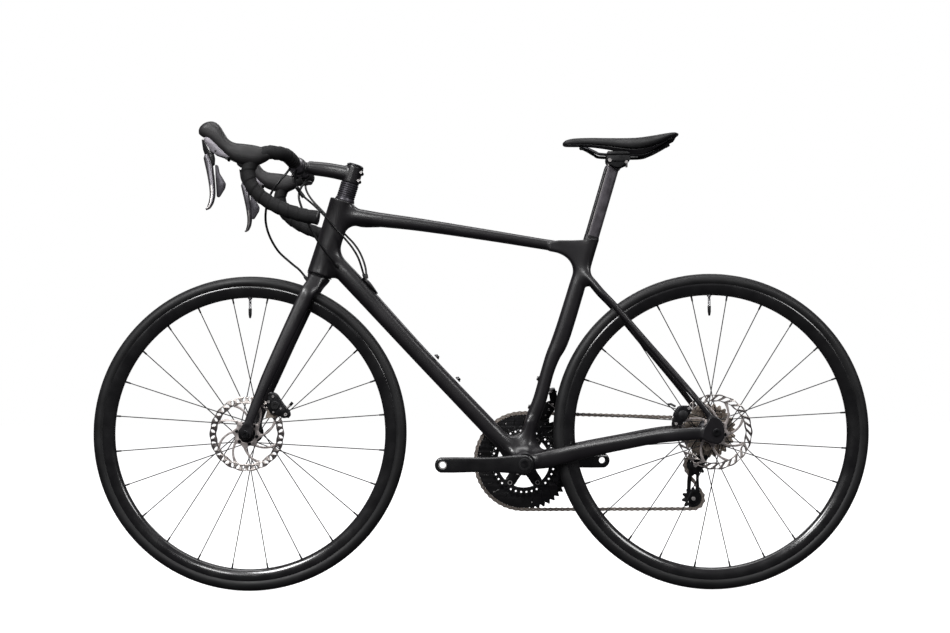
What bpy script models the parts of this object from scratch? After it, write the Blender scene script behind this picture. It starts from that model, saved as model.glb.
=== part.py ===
"""Road bicycle with drop handlebar, disc brakes and a two-by-eleven drivetrain.

Lengths in this file are millimetres, and every mesh is scaled to metres when it is made. The origin
is on the ground, midway between the two axles, in the centre plane. The bicycle faces -X, its drive
side is +Y, up is +Z.
"""
import bpy
import bmesh
from math import asin, atan2, copysign, cos, hypot, pi, radians, sin
from mathutils import Matrix, Vector

METRES = 0.001
GAP = 0.3                                   # clearance between pieces that touch on the real bicycle

# Wheels and axles
WHEELBASE = 991.0
WHEEL_RADIUS = 338.0
FRONT_AXLE = Vector((-WHEELBASE / 2, 0, WHEEL_RADIUS))
REAR_AXLE = Vector((WHEELBASE / 2, 0, WHEEL_RADIUS))
TYRE_WIDTH = 28.0
RIM_INNER = 291.5
RIM_OUTER = 316.0
RIM_WIDTH = 24.0
RIM_FACETS = 40
SPOKES = 24
SPOKE_RADIUS = 1.0
SPOKE_SWEEP = radians(60)                   # two-cross lacing with twelve spokes a side
FRONT_HUB_WIDTH = 100.0
REAR_HUB_WIDTH = 142.0
AXLE_RADIUS = 6.0
ROTOR_RADIUS = 80.0
FRONT_ROTOR_Y = -39.0
REAR_ROTOR_Y = -53.0

# Steering
STEER_POINT = Vector((-285, 0, 857))
STEER_AXIS = Vector((0.2974, 0, 0.9548)).normalized()
STEER_FORWARD = Vector((-STEER_AXIS.z, 0, STEER_AXIS.x))
STEERER_RADIUS = 14.3
HEAD_BOTTOM = -189.0                        # places along the steering axis, from STEER_POINT
HEAD_TOP = -20.0
SPACERS_TOP = 20.5
STEM_TOP = 58.0
BAR_CENTRE = Vector((-390, 0, 912))
BAR_CLAMP_RADIUS = 15.9
BAR_RADIUS = 12.0
BAR_HALF_WIDTH = 210.0

# Drive
CRANK_CENTRE = Vector((94.4, 0, 272))
CRANK_LENGTH = 172.5
SPINDLE_RADIUS = 12.0
SHELL_HALF_WIDTH = 43.0
LINK_PITCH = 12.7
RING_TEETH = (52, 36)
RING_Y = (47.5, 40.5)
RING_THICKNESS = 1.8
BOLT_CIRCLE_RADIUS = 55.0
COG_TEETH = (11, 12, 13, 14, 15, 17, 19, 21, 23, 25, 28)
COG_SPACING = 3.74
FIRST_COG_Y = 64.3
CHAIN_COG = 1                               # the chain runs on the second smallest cog
PULLEY_TEETH = 11
GUIDE_PULLEY = Vector((470, 0, 261))
TENSION_PULLEY = Vector((465, 0, 188))

# Seat
SEAT_AXIS = Vector((0.2874, 0, 0.958)).normalized()
COLLAR = Vector((242, 0, 751))
POST_DEPTH = 14.2                           # half sizes of the aero seatpost's section
POST_WIDTH = 10.8
POST_INSERT = 110.0
POST_TRAVEL = 50.0
POST_HEAD = Vector((300, 0, 909))
HEAD_RADIUS = 10.5
RAIL_SLOPE = Vector((1, 0, -0.047)).normalized()
RAIL_RADIUS = 3.5
RAIL_HALF_GAUGE = 22.0

COG_Y = FIRST_COG_Y - CHAIN_COG * COG_SPACING
UNIT_X = Vector((1, 0, 0))
UNIT_Y = Vector((0, 1, 0))
UNIT_Z = Vector((0, 0, 1))


# ---------------------------------------------------------------- scene and materials

def clear_scene():
    for item in list(bpy.data.objects):
        bpy.data.objects.remove(item, do_unlink=True)


def material(name, colour, roughness, metallic=0.0):
    """One Principled material for each piece, so that each may be finished on its own."""
    made = bpy.data.materials.new(name)
    made.use_nodes = True
    shader = made.node_tree.nodes["Principled BSDF"]
    shader.inputs["Base Color"].default_value = (*colour, 1)
    shader.inputs["Roughness"].default_value = roughness
    shader.inputs["Metallic"].default_value = metallic
    return made


FINISHES = {
    "carbon": ((0.018, 0.016, 0.019), 0.32, 0.0),
    "gloss_black": ((0.012, 0.012, 0.013), 0.18, 0.0),
    "anodised_black": ((0.02, 0.02, 0.022), 0.38, 0.8),
    "rubber": ((0.022, 0.022, 0.022), 0.75, 0.0),
    "tape": ((0.02, 0.02, 0.02), 0.8, 0.0),
    "steel": ((0.55, 0.53, 0.5), 0.3, 1.0),
    "chain_steel": ((0.3, 0.26, 0.23), 0.38, 1.0),
    "lever_grey": ((0.12, 0.12, 0.13), 0.28, 0.6),
    "saddle_cover": ((0.02, 0.02, 0.021), 0.6, 0.0),
    "cable": ((0.015, 0.015, 0.015), 0.45, 0.0),
}


# ---------------------------------------------------------------- mesh makers

def make_object(name, rings, loops=False):
    """Join matching rings of points with quads; cap the ends, or close the rings into a loop."""
    bm = bmesh.new()
    verts = [[bm.verts.new(point * METRES) for point in ring] for ring in rings]
    count = len(rings[0])
    spans = len(rings) if loops else len(rings) - 1
    for i in range(spans):
        first, second = verts[i], verts[(i + 1) % len(rings)]
        for j in range(count):
            k = (j + 1) % count
            bm.faces.new((first[j], first[k], second[k], second[j]))
    if not loops:
        bm.faces.new(verts[0])
        bm.faces.new(verts[-1])
    return finish_mesh(name, bm)


def finish_mesh(name, bm):
    """Turn the faces outwards and put the mesh on a new object."""
    bmesh.ops.recalc_face_normals(bm, faces=bm.faces[:])
    if bm.calc_volume(signed=True) < 0:
        bmesh.ops.reverse_faces(bm, faces=bm.faces[:])
    mesh = bpy.data.meshes.new(name)
    bm.to_mesh(mesh)
    bm.free()
    made = bpy.data.objects.new(name, mesh)
    bpy.context.scene.collection.objects.link(made)
    return made


def boolean(target, tool, operation):
    """Apply a Boolean with one tool object, and remove the tool."""
    modifier = target.modifiers.new("boolean", "BOOLEAN")
    modifier.operation = operation
    modifier.object = tool
    graph = bpy.context.evaluated_depsgraph_get()
    mesh = bpy.data.meshes.new_from_object(target.evaluated_get(graph))
    target.modifiers.clear()
    target.data = mesh
    bpy.data.objects.remove(tool, do_unlink=True)
    return target


def join(target, *tools):
    for tool in tools:
        boolean(target, tool, "UNION")
    return target


def cut(target, *tools):
    for tool in tools:
        boolean(target, tool, "DIFFERENCE")
    return target


def merged(name, pieces):
    """Put separate solids on one object, to serve as a single Boolean tool."""
    bm = bmesh.new()
    for piece in pieces:
        bm.from_mesh(piece.data)
        bpy.data.objects.remove(piece, do_unlink=True)
    return finish_mesh(name, bm)


def superellipse(centre, across, side, half_across, half_side, power=2.0, sides=12):
    """A ring of points; power 2 is an ellipse, and a larger power is squarer."""
    ring = []
    for i in range(sides):
        angle = 2 * pi * (i + 0.5) / sides
        c, s = cos(angle), sin(angle)
        u = half_across * copysign(abs(c) ** (2 / power), c)
        v = half_side * copysign(abs(s) ** (2 / power), s)
        ring.append(centre + across * u + side * v)
    return ring


def path_frames(points):
    """Across and side directions for a path, with the across direction kept in the XZ plane."""
    frames = []
    for i in range(len(points)):
        tangent = (points[min(i + 1, len(points) - 1)] - points[max(i - 1, 0)]).normalized()
        if abs(tangent.y) < 0.97:
            across = Vector((-tangent.z, 0, tangent.x)).normalized()
        else:
            across = UNIT_Z.copy()
        if frames and across.dot(frames[-1][0]) < 0:
            across = -across
        frames.append((across, tangent.cross(across).normalized()))
    return frames


def loft(name, stations, power=2.0, sides=10):
    """A solid through stations of (centre, half depth in the XZ plane, half width)."""
    points = [Vector(station[0]) for station in stations]
    frames = path_frames(points)
    rings = []
    for (_, depth, width), point, (across, side) in zip(stations, points, frames):
        rings.append(superellipse(point, across, side, depth, width, power, sides))
    return make_object(name, rings)


def round_frames(points):
    """Frames carried along a path without twist, for round tubes that bend in any direction."""
    frames = []
    across = None
    for i in range(len(points)):
        tangent = (points[min(i + 1, len(points) - 1)] - points[max(i - 1, 0)]).normalized()
        if across is None:
            across = tangent.orthogonal()
        across = (across - tangent * across.dot(tangent)).normalized()
        frames.append((across, tangent.cross(across).normalized()))
    return frames


def round_tube(name, points, radii, sides=8):
    rings = []
    for point, radius, (across, side) in zip(points, radii, round_frames(points)):
        rings.append(superellipse(point, across, side, radius, radius, 2.0, sides))
    return make_object(name, rings)


def smooth_path(points, steps):
    """Catmull-Rom curve through the points, with this many steps in each span."""
    points = [Vector(p) for p in points]
    padded = [2 * points[0] - points[1], *points, 2 * points[-1] - points[-2]]
    out = []
    for i in range(1, len(padded) - 2):
        a, b, c, d = padded[i - 1:i + 3]
        for k in range(steps):
            t = k / steps
            out.append(0.5 * (2 * b + (c - a) * t + (2 * a - 5 * b + 4 * c - d) * t ** 2
                              + (3 * b - a - 3 * c + d) * t ** 3))
    return out + [points[-1]]


def cylinder(name, start, end, radius, sides=16, end_radius=None):
    start, end = Vector(start), Vector(end)
    return round_tube(name, [start, end], [radius, end_radius or radius], sides)


def turned(name, centre, axis, profile, segments=24):
    """A ring turned about an axis from a closed profile of (radius, place along the axis)."""
    across = UNIT_Z - axis * axis.z if abs(axis.z) < 0.9 else UNIT_X - axis * axis.x
    across.normalize()
    side = axis.cross(across)
    rings = []
    for i in range(segments):
        angle = 2 * pi * i / segments
        out = across * cos(angle) + side * sin(angle)
        rings.append([centre + out * radius + axis * along for radius, along in profile])
    return make_object(name, rings, loops=True)


def prism(name, outline, y_low, y_high):
    """An outline of (x, z) points, extruded along Y."""
    return make_object(name, [[Vector((x, y, z)) for x, z in outline] for y in (y_low, y_high)])


def box(name, low, high):
    outline = [(low[0], low[2]), (high[0], low[2]), (high[0], high[2]), (low[0], high[2])]
    return prism(name, outline, low[1], high[1])


def arc(centre, radius, start, end, count):
    """Points of (x, z) along an arc, angles in degrees from +X towards +Z."""
    return [(centre[0] + radius * cos(radians(start + (end - start) * i / (count - 1))),
             centre[1] + radius * sin(radians(start + (end - start) * i / (count - 1))))
            for i in range(count)]


def steer_place(along, forward=0.0, y=0.0):
    return STEER_POINT + STEER_AXIS * along + STEER_FORWARD * forward + UNIT_Y * y


def finish(made, finish_name, name=None):
    """Name the piece and give it its own material."""
    if name:
        made.name = name
        made.data.name = name
    made.data.shade_smooth()
    made.data.set_sharp_from_angle(angle=radians(35))
    made.data.materials.clear()
    made.data.materials.append(material(made.name, *FINISHES[finish_name]))
    return made


def set_pivot(made, pivot_mm, parent=None):
    """Move the object's origin to its pivot without moving its surface."""
    pivot = Vector(pivot_mm) * METRES
    made.data.transform(Matrix.Translation(-pivot))
    made.location = pivot
    if parent:
        made.location = pivot - parent.location
        made.parent = parent
    return made


def make_pivot(name, place_mm):
    pivot = bpy.data.objects.new(name, None)
    pivot.location = Vector(place_mm) * METRES
    bpy.context.scene.collection.objects.link(pivot)
    return pivot


# ---------------------------------------------------------------- frame

def mirror_side(points, side):
    return [((x, y * side, z), depth, width) for (x, y, z), depth, width in points]


def build_frame():
    head = [(steer_place(d), depth, width) for d, depth, width in
            ((HEAD_BOTTOM, 23.5, 24.5), (-165, 22.8, 22.5), (-110, 22.3, 20), (-50, 22.5, 20.5),
             (HEAD_TOP, 22.9, 22.5))]
    frame = loft("frame", head, sides=14)
    top_tube = [((-300, 0, 810), 18.5, 16), ((-275, 0, 806), 18.2, 17.5), ((-213, 0, 797.3), 15.6, 18.5),
                ((-126.7, 0, 785.9), 13.8, 17.5), ((20, 0, 762.5), 12.2, 15), ((160, 0, 739), 11.2, 13),
                ((228, 0, 727), 12.5, 12.5)]
    down_tube = [((-318, 0, 712), 21, 16), ((-256.9, 0, 646), 20.2, 19), ((-128, 0, 504.3), 18, 21.5),
                 ((10, 0, 358), 18.2, 23.5), ((52, 0, 313.6), 19, 26), ((90, 0, 277), 20, 30)]
    seat_tube = [((97, 0, 285), 17.5, 28), ((109, 0, 352), 15.8, 17), ((129, 0, 406), 14.8, 15.5),
                 ((145, 0, 463), 14.2, 15.2), ((158, 0, 500), 15.8, 15.2), ((172, 0, 529), 18.2, 15.4),
                 ((189, 0, 578), 18.2, 15.6), ((225, 0, 694.5), 17.4, 15.6), ((242, 0, 751), 16.8, 15.4)]
    join(frame, loft("top_tube", top_tube, 2.6), loft("down_tube", down_tube, 2.6),
         loft("seat_tube", seat_tube, 2.3),
         cylinder("shell", CRANK_CENTRE - UNIT_Y * SHELL_HALF_WIDTH,
                  CRANK_CENTRE + UNIT_Y * SHELL_HALF_WIDTH, 25, 16))
    chain_stay = [((100, 20, 273.5), 16, 14), ((122, 29.5, 277.5), 17, 9), ((160, 29, 285), 17.3, 8.6),
                  ((195, 32, 293), 17, 8.4), ((250, 40, 305), 15.5, 8), ((315, 50, 317.5), 14.2, 7.8),
                  ((365, 57.5, 327), 13.8, 7.6), ((412, 66.5, 333), 14, 7.6), ((478, 75.5, 337), 12.5, 4.2)]
    seat_stay = [((214, 6, 690), 8, 6), ((236, 15, 668), 8, 7), ((262, 24.5, 636.5), 7.4, 6.6),
                 ((292, 28, 604.5), 6.9, 6.4), ((350, 38, 535), 6.7, 6.2), ((423.5, 56, 448), 6.5, 5.6),
                 ((458, 69, 405), 6.5, 4.6), ((488, 75.5, 366), 7, 4.2)]
    for side in (-1, 1):
        join(frame, loft("chain_stay", mirror_side(chain_stay, side), 2.4, 8),
             loft("seat_stay", mirror_side(seat_stay, side), 2.2, 8))
        dropout = [(464, 325), (470, 350), (483, 371), (497, 373), (509, 360), (513, 340), (511, 322),
                   (500, 313), (482, 316)]
        join(frame, prism("dropout", dropout, *sorted((side * REAR_HUB_WIDTH / 2, side * 80))))
    bosses = [((-92, 500), (-46.5, 451.5), Vector((0.744, 0, 0.668)), 9.5),
              ((127.5, 452), (108.5, 391), Vector((-0.955, 0, 0.295)), 6.5)]
    for first, second, out, sink in bosses:
        for x, z in (first, second):
            base = Vector((x, 0, z))
            join(frame, cylinder("boss", base - out * sink, base + out * 1.2, 6.5, 8))
    cut(frame, cylinder("steerer_bore", steer_place(HEAD_BOTTOM - 5), steer_place(HEAD_TOP + 5), 17, 14),
        cylinder("lower_seat", steer_place(HEAD_BOTTOM - 5), steer_place(HEAD_BOTTOM + 7.6), 21.2, 14),
        cylinder("upper_seat", steer_place(HEAD_TOP - 7.6), steer_place(HEAD_TOP + 5), 20, 14),
        cylinder("shell_bore", CRANK_CENTRE - UNIT_Y * 50, CRANK_CENTRE + UNIT_Y * 50, 20.8, 14),
        cylinder("axle_bore", REAR_AXLE - UNIT_Y * 90, REAR_AXLE + UNIT_Y * 90, AXLE_RADIUS + 0.5, 10))
    low = COLLAR - SEAT_AXIS * (POST_INSERT + POST_TRAVEL + 12)
    bore = [(low, POST_DEPTH + GAP, POST_WIDTH + GAP), (COLLAR + SEAT_AXIS * 8, POST_DEPTH + GAP,
                                                         POST_WIDTH + GAP)]
    cut(frame, loft("post_bore", bore, 2.6, 12))
    return finish(frame, "carbon")


def build_headset():
    for name, seat, radius, height in (("headset_bearing_lower", HEAD_BOTTOM, 20.5, 7),
                                       ("headset_bearing_upper", HEAD_TOP - 7, 19.3, 7)):
        low = seat + (GAP if name.endswith("lower") else -GAP)
        bore = STEERER_RADIUS + 0.8
        profile = [(bore, 0), (radius, 0), (radius, height), (bore, height)]
        finish(turned(name, steer_place(low), STEER_AXIS, profile, 14), "steel")


def build_bottom_bracket():
    for side, word in ((-1, "left"), (1, "right")):
        bore = SPINDLE_RADIUS + 0.8
        profile = [(bore, 30), (20.2, 30), (20.2, 43.3), (23, 43.3), (23, 45), (bore, 45)]
        name = f"bottom_bracket_cup_{word}"
        finish(turned(name, CRANK_CENTRE, UNIT_Y * side, profile, 14), "anodised_black")


def build_frame_hardware():
    top = COLLAR + SEAT_AXIS * 1.0
    collar = [(top, 17.2, 15.8), (top + SEAT_AXIS * 3, 16.6, 15.2)]
    wedge = loft("seatpost_clamp_cover", collar, 2.3)
    hole = [(top - SEAT_AXIS * 4, POST_DEPTH + GAP, POST_WIDTH + GAP),
            (top + SEAT_AXIS * 8, POST_DEPTH + GAP, POST_WIDTH + GAP)]
    finish(cut(wedge, loft("hole", hole, 2.6, 12)), "rubber")
    hanger = prism("derailleur_hanger", [(487, 330), (490, 350), (503, 350), (508, 330), (512, 300),
                                         (504, 292), (494, 299)], 80.4, 86.4)
    cut(hanger, cylinder("hole", REAR_AXLE + UNIT_Y * 70, REAR_AXLE + UNIT_Y * 95, AXLE_RADIUS + 0.5, 10))
    finish(hanger, "anodised_black")
    axle = cylinder("rear_thru_axle", REAR_AXLE - UNIT_Y * 83.5, REAR_AXLE + UNIT_Y * 88, AXLE_RADIUS, 10)
    join(axle, cylinder("head", REAR_AXLE - UNIT_Y * 84, REAR_AXLE - UNIT_Y * 80.4, 8.5, 10))
    finish(axle, "anodised_black")


# ---------------------------------------------------------------- fork, stem and bar

def build_fork():
    blade = [((-352, 24, 655), 15, 8), ((-358.5, 30, 640), 16.8, 9), ((-370.5, 32, 613.8), 16.2, 9),
             ((-405, 38.5, 540), 14.4, 8.6), ((-441, 46, 462), 12.5, 7.8), ((-458, 50, 428), 10.4, 7.2),
             ((-475.5, 54, 390), 10.2, 6), ((-490, 56.3, 356), 10, 5.6)]
    crown = [(steer_place(-224, 0, -31), 15, 10), (steer_place(-207, 0, -22), 18, 12),
             (steer_place(-202, 0, 0), 20, 10), (steer_place(-207, 0, 22), 18, 12),
             (steer_place(-224, 0, 31), 15, 10)]
    rings = [superellipse(c, STEER_FORWARD, STEER_AXIS, depth, height, 2.6, 12) for c, depth, height in crown]
    fork = make_object("fork", rings)
    join(fork, cylinder("crown_race", steer_place(-203), steer_place(HEAD_BOTTOM - 0.5), 23.5, 14))
    join(fork, cylinder("steerer", steer_place(-200), steer_place(STEM_TOP - 1), STEERER_RADIUS, 14))
    for side in (-1, 1):
        join(fork, loft("blade", mirror_side(blade, side), 2.2, 8))
        tip = [(-508, 345), (-500, 362), (-484, 370), (-478, 352), (-482, 334), (-492, 325), (-503, 329)]
        join(fork, prism("tip", tip, *sorted((side * FRONT_HUB_WIDTH / 2, side * 61))))
    cut(fork, cylinder("axle_bore", FRONT_AXLE - UNIT_Y * 90, FRONT_AXLE + UNIT_Y * 90, AXLE_RADIUS + 0.5, 10))
    return finish(fork, "carbon")


def build_spacers():
    bore = STEERER_RADIUS + GAP
    profile = [(bore, GAP), (22.4, GAP), (18.2, 9.5), (18.2, SPACERS_TOP - HEAD_TOP - GAP),
               (bore, SPACERS_TOP - HEAD_TOP - GAP)]
    finish(turned("headset_spacers", steer_place(HEAD_TOP), STEER_AXIS, profile, 14), "anodised_black")


def clamp_outline(inner, outer, start, end, count=9):
    """Half a clamp ring around the bar, as (x, z) points."""
    centre = (BAR_CENTRE.x, BAR_CENTRE.z)
    return arc(centre, outer, start, end, count) + arc(centre, inner, end, start, count)


def build_stem():
    inner = BAR_CLAMP_RADIUS + 2 * GAP
    stem = cylinder("stem", steer_place(SPACERS_TOP), steer_place(STEM_TOP), 18.6, 14)
    body = [(steer_place(40, 4), 17.2, 16), ((-330, 0, 906.5), 17.3, 15.5), ((-379, 0, 911.6), 16.5, 19)]
    join(stem, loft("extension", body, 3.0, 10), prism("clamp", clamp_outline(inner, 20, -82, 82), -21, 21))
    back_slot = box("slot", (-262, -1.2, 850), (-235, 1.2, 930))
    cut(stem, cylinder("bar_hole", BAR_CENTRE - UNIT_Y * 40, BAR_CENTRE + UNIT_Y * 40, inner, 14),
        cylinder("steerer_hole", steer_place(0), steer_place(STEM_TOP + 5), STEERER_RADIUS + 0.4, 14),
        back_slot)
    finish(stem, "anodised_black")
    plate = prism("stem_faceplate", clamp_outline(inner, 20, 98, 262), -21, 21)
    for side in (-1, 1):
        for z in (BAR_CENTRE.z - 21.2, BAR_CENTRE.z + 17.2):
            join(plate, box("lug", (-401, side * 14 - 4, z), (-392.2, side * 14 + 4, z + 4)))
    window = box("window", (-420, -7, 905), (-400, 7, 919))
    finish(cut(plate, window), "anodised_black")
    rings = [superellipse(steer_place(STEM_TOP + along), UNIT_Y, STEER_FORWARD, radius, radius, 2, 14)
             for radius, along in ((17.5, 0.6), (17.5, 4), (15.5, 6))]
    finish(make_object("stem_top_cap", rings), "anodised_black")


def bar_route(side):
    """Centre line of one half of the bar, from beside the stem to the end of the drop."""
    spots = [(34, -390, 912), (66, -390, 912), (140, -390, 912), (176, -393.5, 912.5), (199, -407, 913),
             (209, -428, 912), (210, -449, 900), (210, -460.5, 884), (210, -462.5, 866), (210, -457, 847),
             (210, -443, 829), (210, -425, 814.5), (210.5, -404, 802.5), (211, -379, 792.5),
             (211.5, -352, 784.5), (212, -322, 779)]
    return [Vector((x, side * y, z)) for y, x, z in spots]


def build_handlebar():
    left, right = bar_route(-1), bar_route(1)
    points = left[::-1] + [Vector((-390, 0, 912))] + right
    radii = [BAR_RADIUS] * (len(left) - 1) + [BAR_CLAMP_RADIUS]
    radii = radii + [BAR_CLAMP_RADIUS] + radii[::-1]
    rings = [superellipse(p, a, s, r, r, 2.0, 8) for p, r, (a, s) in zip(points, radii, path_frames(points))]
    finish(make_object("handlebar", rings), "anodised_black")
    for side, word in ((-1, "left"), (1, "right")):
        route = [Vector((-390, side * 82, 912))] + bar_route(side)[2:-1] + [Vector((-324, side * 212, 779.4))]
        rings = path_frames(route)
        out = [superellipse(p, a, s, 14.8, 14.8, 2.0, 8) for p, (a, s) in zip(route, rings)]
        back = [superellipse(p, a, s, 12.9, 12.9, 2.0, 8) for p, (a, s) in zip(route, rings)]
        finish(make_object(f"bar_tape_{word}", out + back[::-1], loops=True), "tape")


# ---------------------------------------------------------------- shifters and levers

LEVER_PIVOT = Vector((-548, 0, 934))
SWING_PIVOT = Vector((-543, 0, 899))
PADDLE_PIVOT = Vector((-527, 0, 884))


def hull_section(x, low, high, width, y, sides=10):
    centre = Vector((x, y, (low + high) / 2))
    return superellipse(centre, UNIT_Z, UNIT_Y, (high - low) / 2, width, 2.5, sides)


def build_shifter(side, word):
    """Bracket and rubber hood in one hull, hollowed where the taped bar passes through it."""
    y = side * BAR_HALF_WIDTH
    sections = [(-449, 886, 925, 14.5), (-470, 889, 928, 16), (-490, 896, 929, 16.5), (-504, 905, 939, 16.5),
                (-513, 911.5, 956, 16.3), (-521, 918, 969, 16), (-531, 926.5, 973.5, 15.5),
                (-543, 937.5, 973.5, 14.5), (-554, 944, 968, 12.5), (-561, 949.5, 961, 8)]
    hull = make_object(f"shifter_{word}", [hull_section(*section, y) for section in sections])
    route = bar_route(side)[4:11]
    tool = [superellipse(p, a, s, 15.2, 15.2, 2.0, 8) for p, (a, s) in zip(route, path_frames(route))]
    finish(cut(hull, make_object("tape_room", tool)), "rubber")


def build_lever(side, word):
    y = side * BAR_HALF_WIDTH
    outline = [(-553, 938), (-545, 937), (-538, 922), (-534, 908), (-529.5, 902), (-529.5, 889),
               (-534, 889), (-535, 905), (-551, 906), (-553.5, 922)]
    carrier = prism(f"lever_pivot_{word}", outline, y - 6, y + 6)
    join(carrier, cylinder("pin", (-531, y, SWING_PIVOT.z), (-549, y, SWING_PIVOT.z), 2.2, 8))
    finish(carrier, "anodised_black")
    stations = [(-544.5, 903, 7.5, 7, 0), (-542.5, 890, 7, 8, 0), (-539, 866, 5.6, 9, 1),
                (-535.5, 842, 4.6, 9.5, 3), (-534.5, 824, 4.2, 9, 6), (-536.5, 808, 3.4, 8, 10),
                (-540, 799, 2.2, 5.5, 13)]
    rings = [superellipse(Vector((x, y + side * out, z)), UNIT_X, UNIT_Y, depth, width, 2.6, 8)
             for x, z, depth, width, out in stations]
    blade = make_object(f"lever_blade_{word}", rings)
    cut(blade, cylinder("bore", (-520, y, SWING_PIVOT.z), (-560, y, SWING_PIVOT.z), 2.6, 8))
    finish(blade, "lever_grey")
    paddle = [(-529, 886), (-525.5, 886), (-523, 872), (-516, 861), (-509.5, 850), (-513, 839), (-523, 823),
              (-527.5, 826), (-528.5, 842), (-531, 862)]
    inside = y - side * 2.5
    finish(prism(f"shift_paddle_{word}", paddle, *sorted((inside, inside - side * 4))), "lever_grey")


# ---------------------------------------------------------------- brakes and hoses

def build_caliper(name, outline, y_low, y_high, axle, rotor_y):
    body = prism(name, outline, y_low, y_high)
    slot = turned("slot", axle + UNIT_Y * rotor_y, UNIT_Y,
                  [(30, -1.9), (ROTOR_RADIUS + 2, -1.9), (ROTOR_RADIUS + 2, 1.9), (30, 1.9)], 32)
    finish(cut(body, slot), "anodised_black")


def build_calipers():
    rear = [(405, 349.5), (424, 351.5), (447, 383), (443, 394), (421, 394), (410, 379)]
    build_caliper("rear_brake_caliper", rear, -66, -43, REAR_AXLE, REAR_ROTOR_Y)
    front = [(-442, 427), (-430, 415), (-407, 384), (-408, 371), (-440, 367), (-459, 372), (-452, 398)]
    build_caliper("front_brake_caliper", front, -52, -29, FRONT_AXLE, FRONT_ROTOR_Y)


def build_rotor(name, axle, y, arms):
    """A brake track on a spider of swept arms, open at the middle for the hub."""
    rotor = turned(name, axle + UNIT_Y * y, UNIT_Y,
                   [(66.5, -0.9), (ROTOR_RADIUS, -0.9), (ROTOR_RADIUS, 0.9), (66.5, 0.9)], 24)
    join(rotor, turned("carrier", axle + UNIT_Y * y, UNIT_Y, [(17.8, -0.7), (26, -0.7), (26, 0.7), (17.8, 0.7)],
                       12))
    for i in range(arms):
        angle = 2 * pi * i / arms - 0.16
        out = Vector((cos(angle), 0, sin(angle)))
        ahead = Vector((-sin(angle), 0, cos(angle)))
        centre = axle + UNIT_Y * y
        arm = [centre + out * 24 - ahead * 3, centre + out * 24 + ahead * 4,
               centre + out * 57 + ahead * 38, centre + out * 60 + ahead * 32]
        rings = [[p + UNIT_Y * offset for p in arm] for offset in (-0.5, 0.5)]
        join(rotor, make_object("arm", rings))
    return finish(rotor, "steel")


# Routes of the hoses and cables, from the end of the bar tape to the fork or the frame
FRONT_HOSE = [(-398, -79, 898.5), (-406, -85, 886), (-420, -92, 868), (-437, -90, 843), (-448, -78, 816),
              (-452, -60, 787), (-446, -44, 758), (-430, -29, 728), (-405, -20, 704), (-386, -17, 688),
              (-371, -15, 669)]
REAR_HOSE = [(-394, 79, 896.8), (-386, 62, 887), (-370, 32, 880.5), (-363, 4, 879.5), (-368, -24, 877),
             (-378, -46, 864), (-382, -58, 842), (-375, -59, 816), (-362, -54, 784), (-347, -46, 754),
             (-327, -35, 725), (-305, -20.5, 697)]
LEFT_CABLE = [(-384, -78, 896.8), (-388, -70, 872), (-376, -60, 847), (-351, -50, 824), (-328, -42, 801),
              (-308, -34, 777), (-287, -29, 754), (-271, -25, 734), (-258, -20, 710), (-247, -12, 673)]
RIGHT_CABLE = [(-386, 78, 896.8), (-384, 73, 874), (-370, 63, 850), (-346, 52, 824), (-316, 39, 793),
               (-287, 31, 763), (-273, 26, 748), (-259, 20, 727), (-248, 14, 699), (-244, 10, 674)]


def build_hoses():
    for name, route, radius in (("front_brake_hose", FRONT_HOSE, 2.5), ("rear_brake_hose", REAR_HOSE, 2.5),
                                ("shift_cable_left", LEFT_CABLE, 2.3), ("shift_cable_right", RIGHT_CABLE, 2.3)):
        points = smooth_path(route, 2)
        finish(round_tube(name, points, [radius] * len(points), 5), "cable")


# ---------------------------------------------------------------- wheels

def build_wheel(word, axle, rotor_y, flanges, hub_profile):
    """Rim, tyre, laced hub, valve and brake rotor; flanges are the left and right (place, radius)."""
    rim = [(RIM_INNER, -5), (RIM_INNER, 5), (302, RIM_WIDTH / 2), (RIM_OUTER, RIM_WIDTH / 2),
           (RIM_OUTER, 10), (310, 9.8), (310, -9.8), (RIM_OUTER, -10), (RIM_OUTER, -RIM_WIDTH / 2),
           (302, -RIM_WIDTH / 2)]
    finish(turned(f"{word}_rim", axle, UNIT_Y, rim, RIM_FACETS), "gloss_black")
    half = TYRE_WIDTH / 2
    tyre = [(310.5, -9.2), (310.5, 9.2), (317, 9.4), (323, half), (332.5, 9.5), (WHEEL_RADIUS, 0),
            (332.5, -9.5), (323, -half), (317, -9.4)]
    finish(turned(f"{word}_tyre", axle, UNIT_Y, tyre, RIM_FACETS), "rubber")
    hub = turned(f"{word}_hub", axle, UNIT_Y, hub_profile, 12)
    end = RIM_INNER * cos(pi / RIM_FACETS) - GAP
    spokes = []
    for i in range(SPOKES):
        outer_angle = 2 * pi * (i + 0.5) / SPOKES
        flange_y, flange_radius = flanges[i % 2]
        lean = SPOKE_SWEEP if (i // 2) % 2 else -SPOKE_SWEEP
        inner_angle = outer_angle + lean
        step = 1.4 if lean > 0 else -1.4
        start = axle + Vector((sin(inner_angle) * flange_radius, flange_y + step,
                               cos(inner_angle) * flange_radius))
        stop = axle + Vector((sin(outer_angle) * end, copysign(1.5, flange_y), cos(outer_angle) * end))
        spokes.append(round_tube("spoke", [start, stop], [SPOKE_RADIUS, SPOKE_RADIUS], 3))
    finish(join(hub, merged("spokes", spokes)), "anodised_black")
    valve_foot = axle + UNIT_Z * (RIM_INNER * cos(pi / RIM_FACETS) - GAP)
    valve = round_tube(f"{word}_valve", [valve_foot - UNIT_Z * along for along in (0, 20, 21, 44)],
                       [3, 3, 3.6, 2.6], 6)
    finish(valve, "steel")
    build_rotor(f"{word}_rotor", axle, rotor_y, 8)


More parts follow.
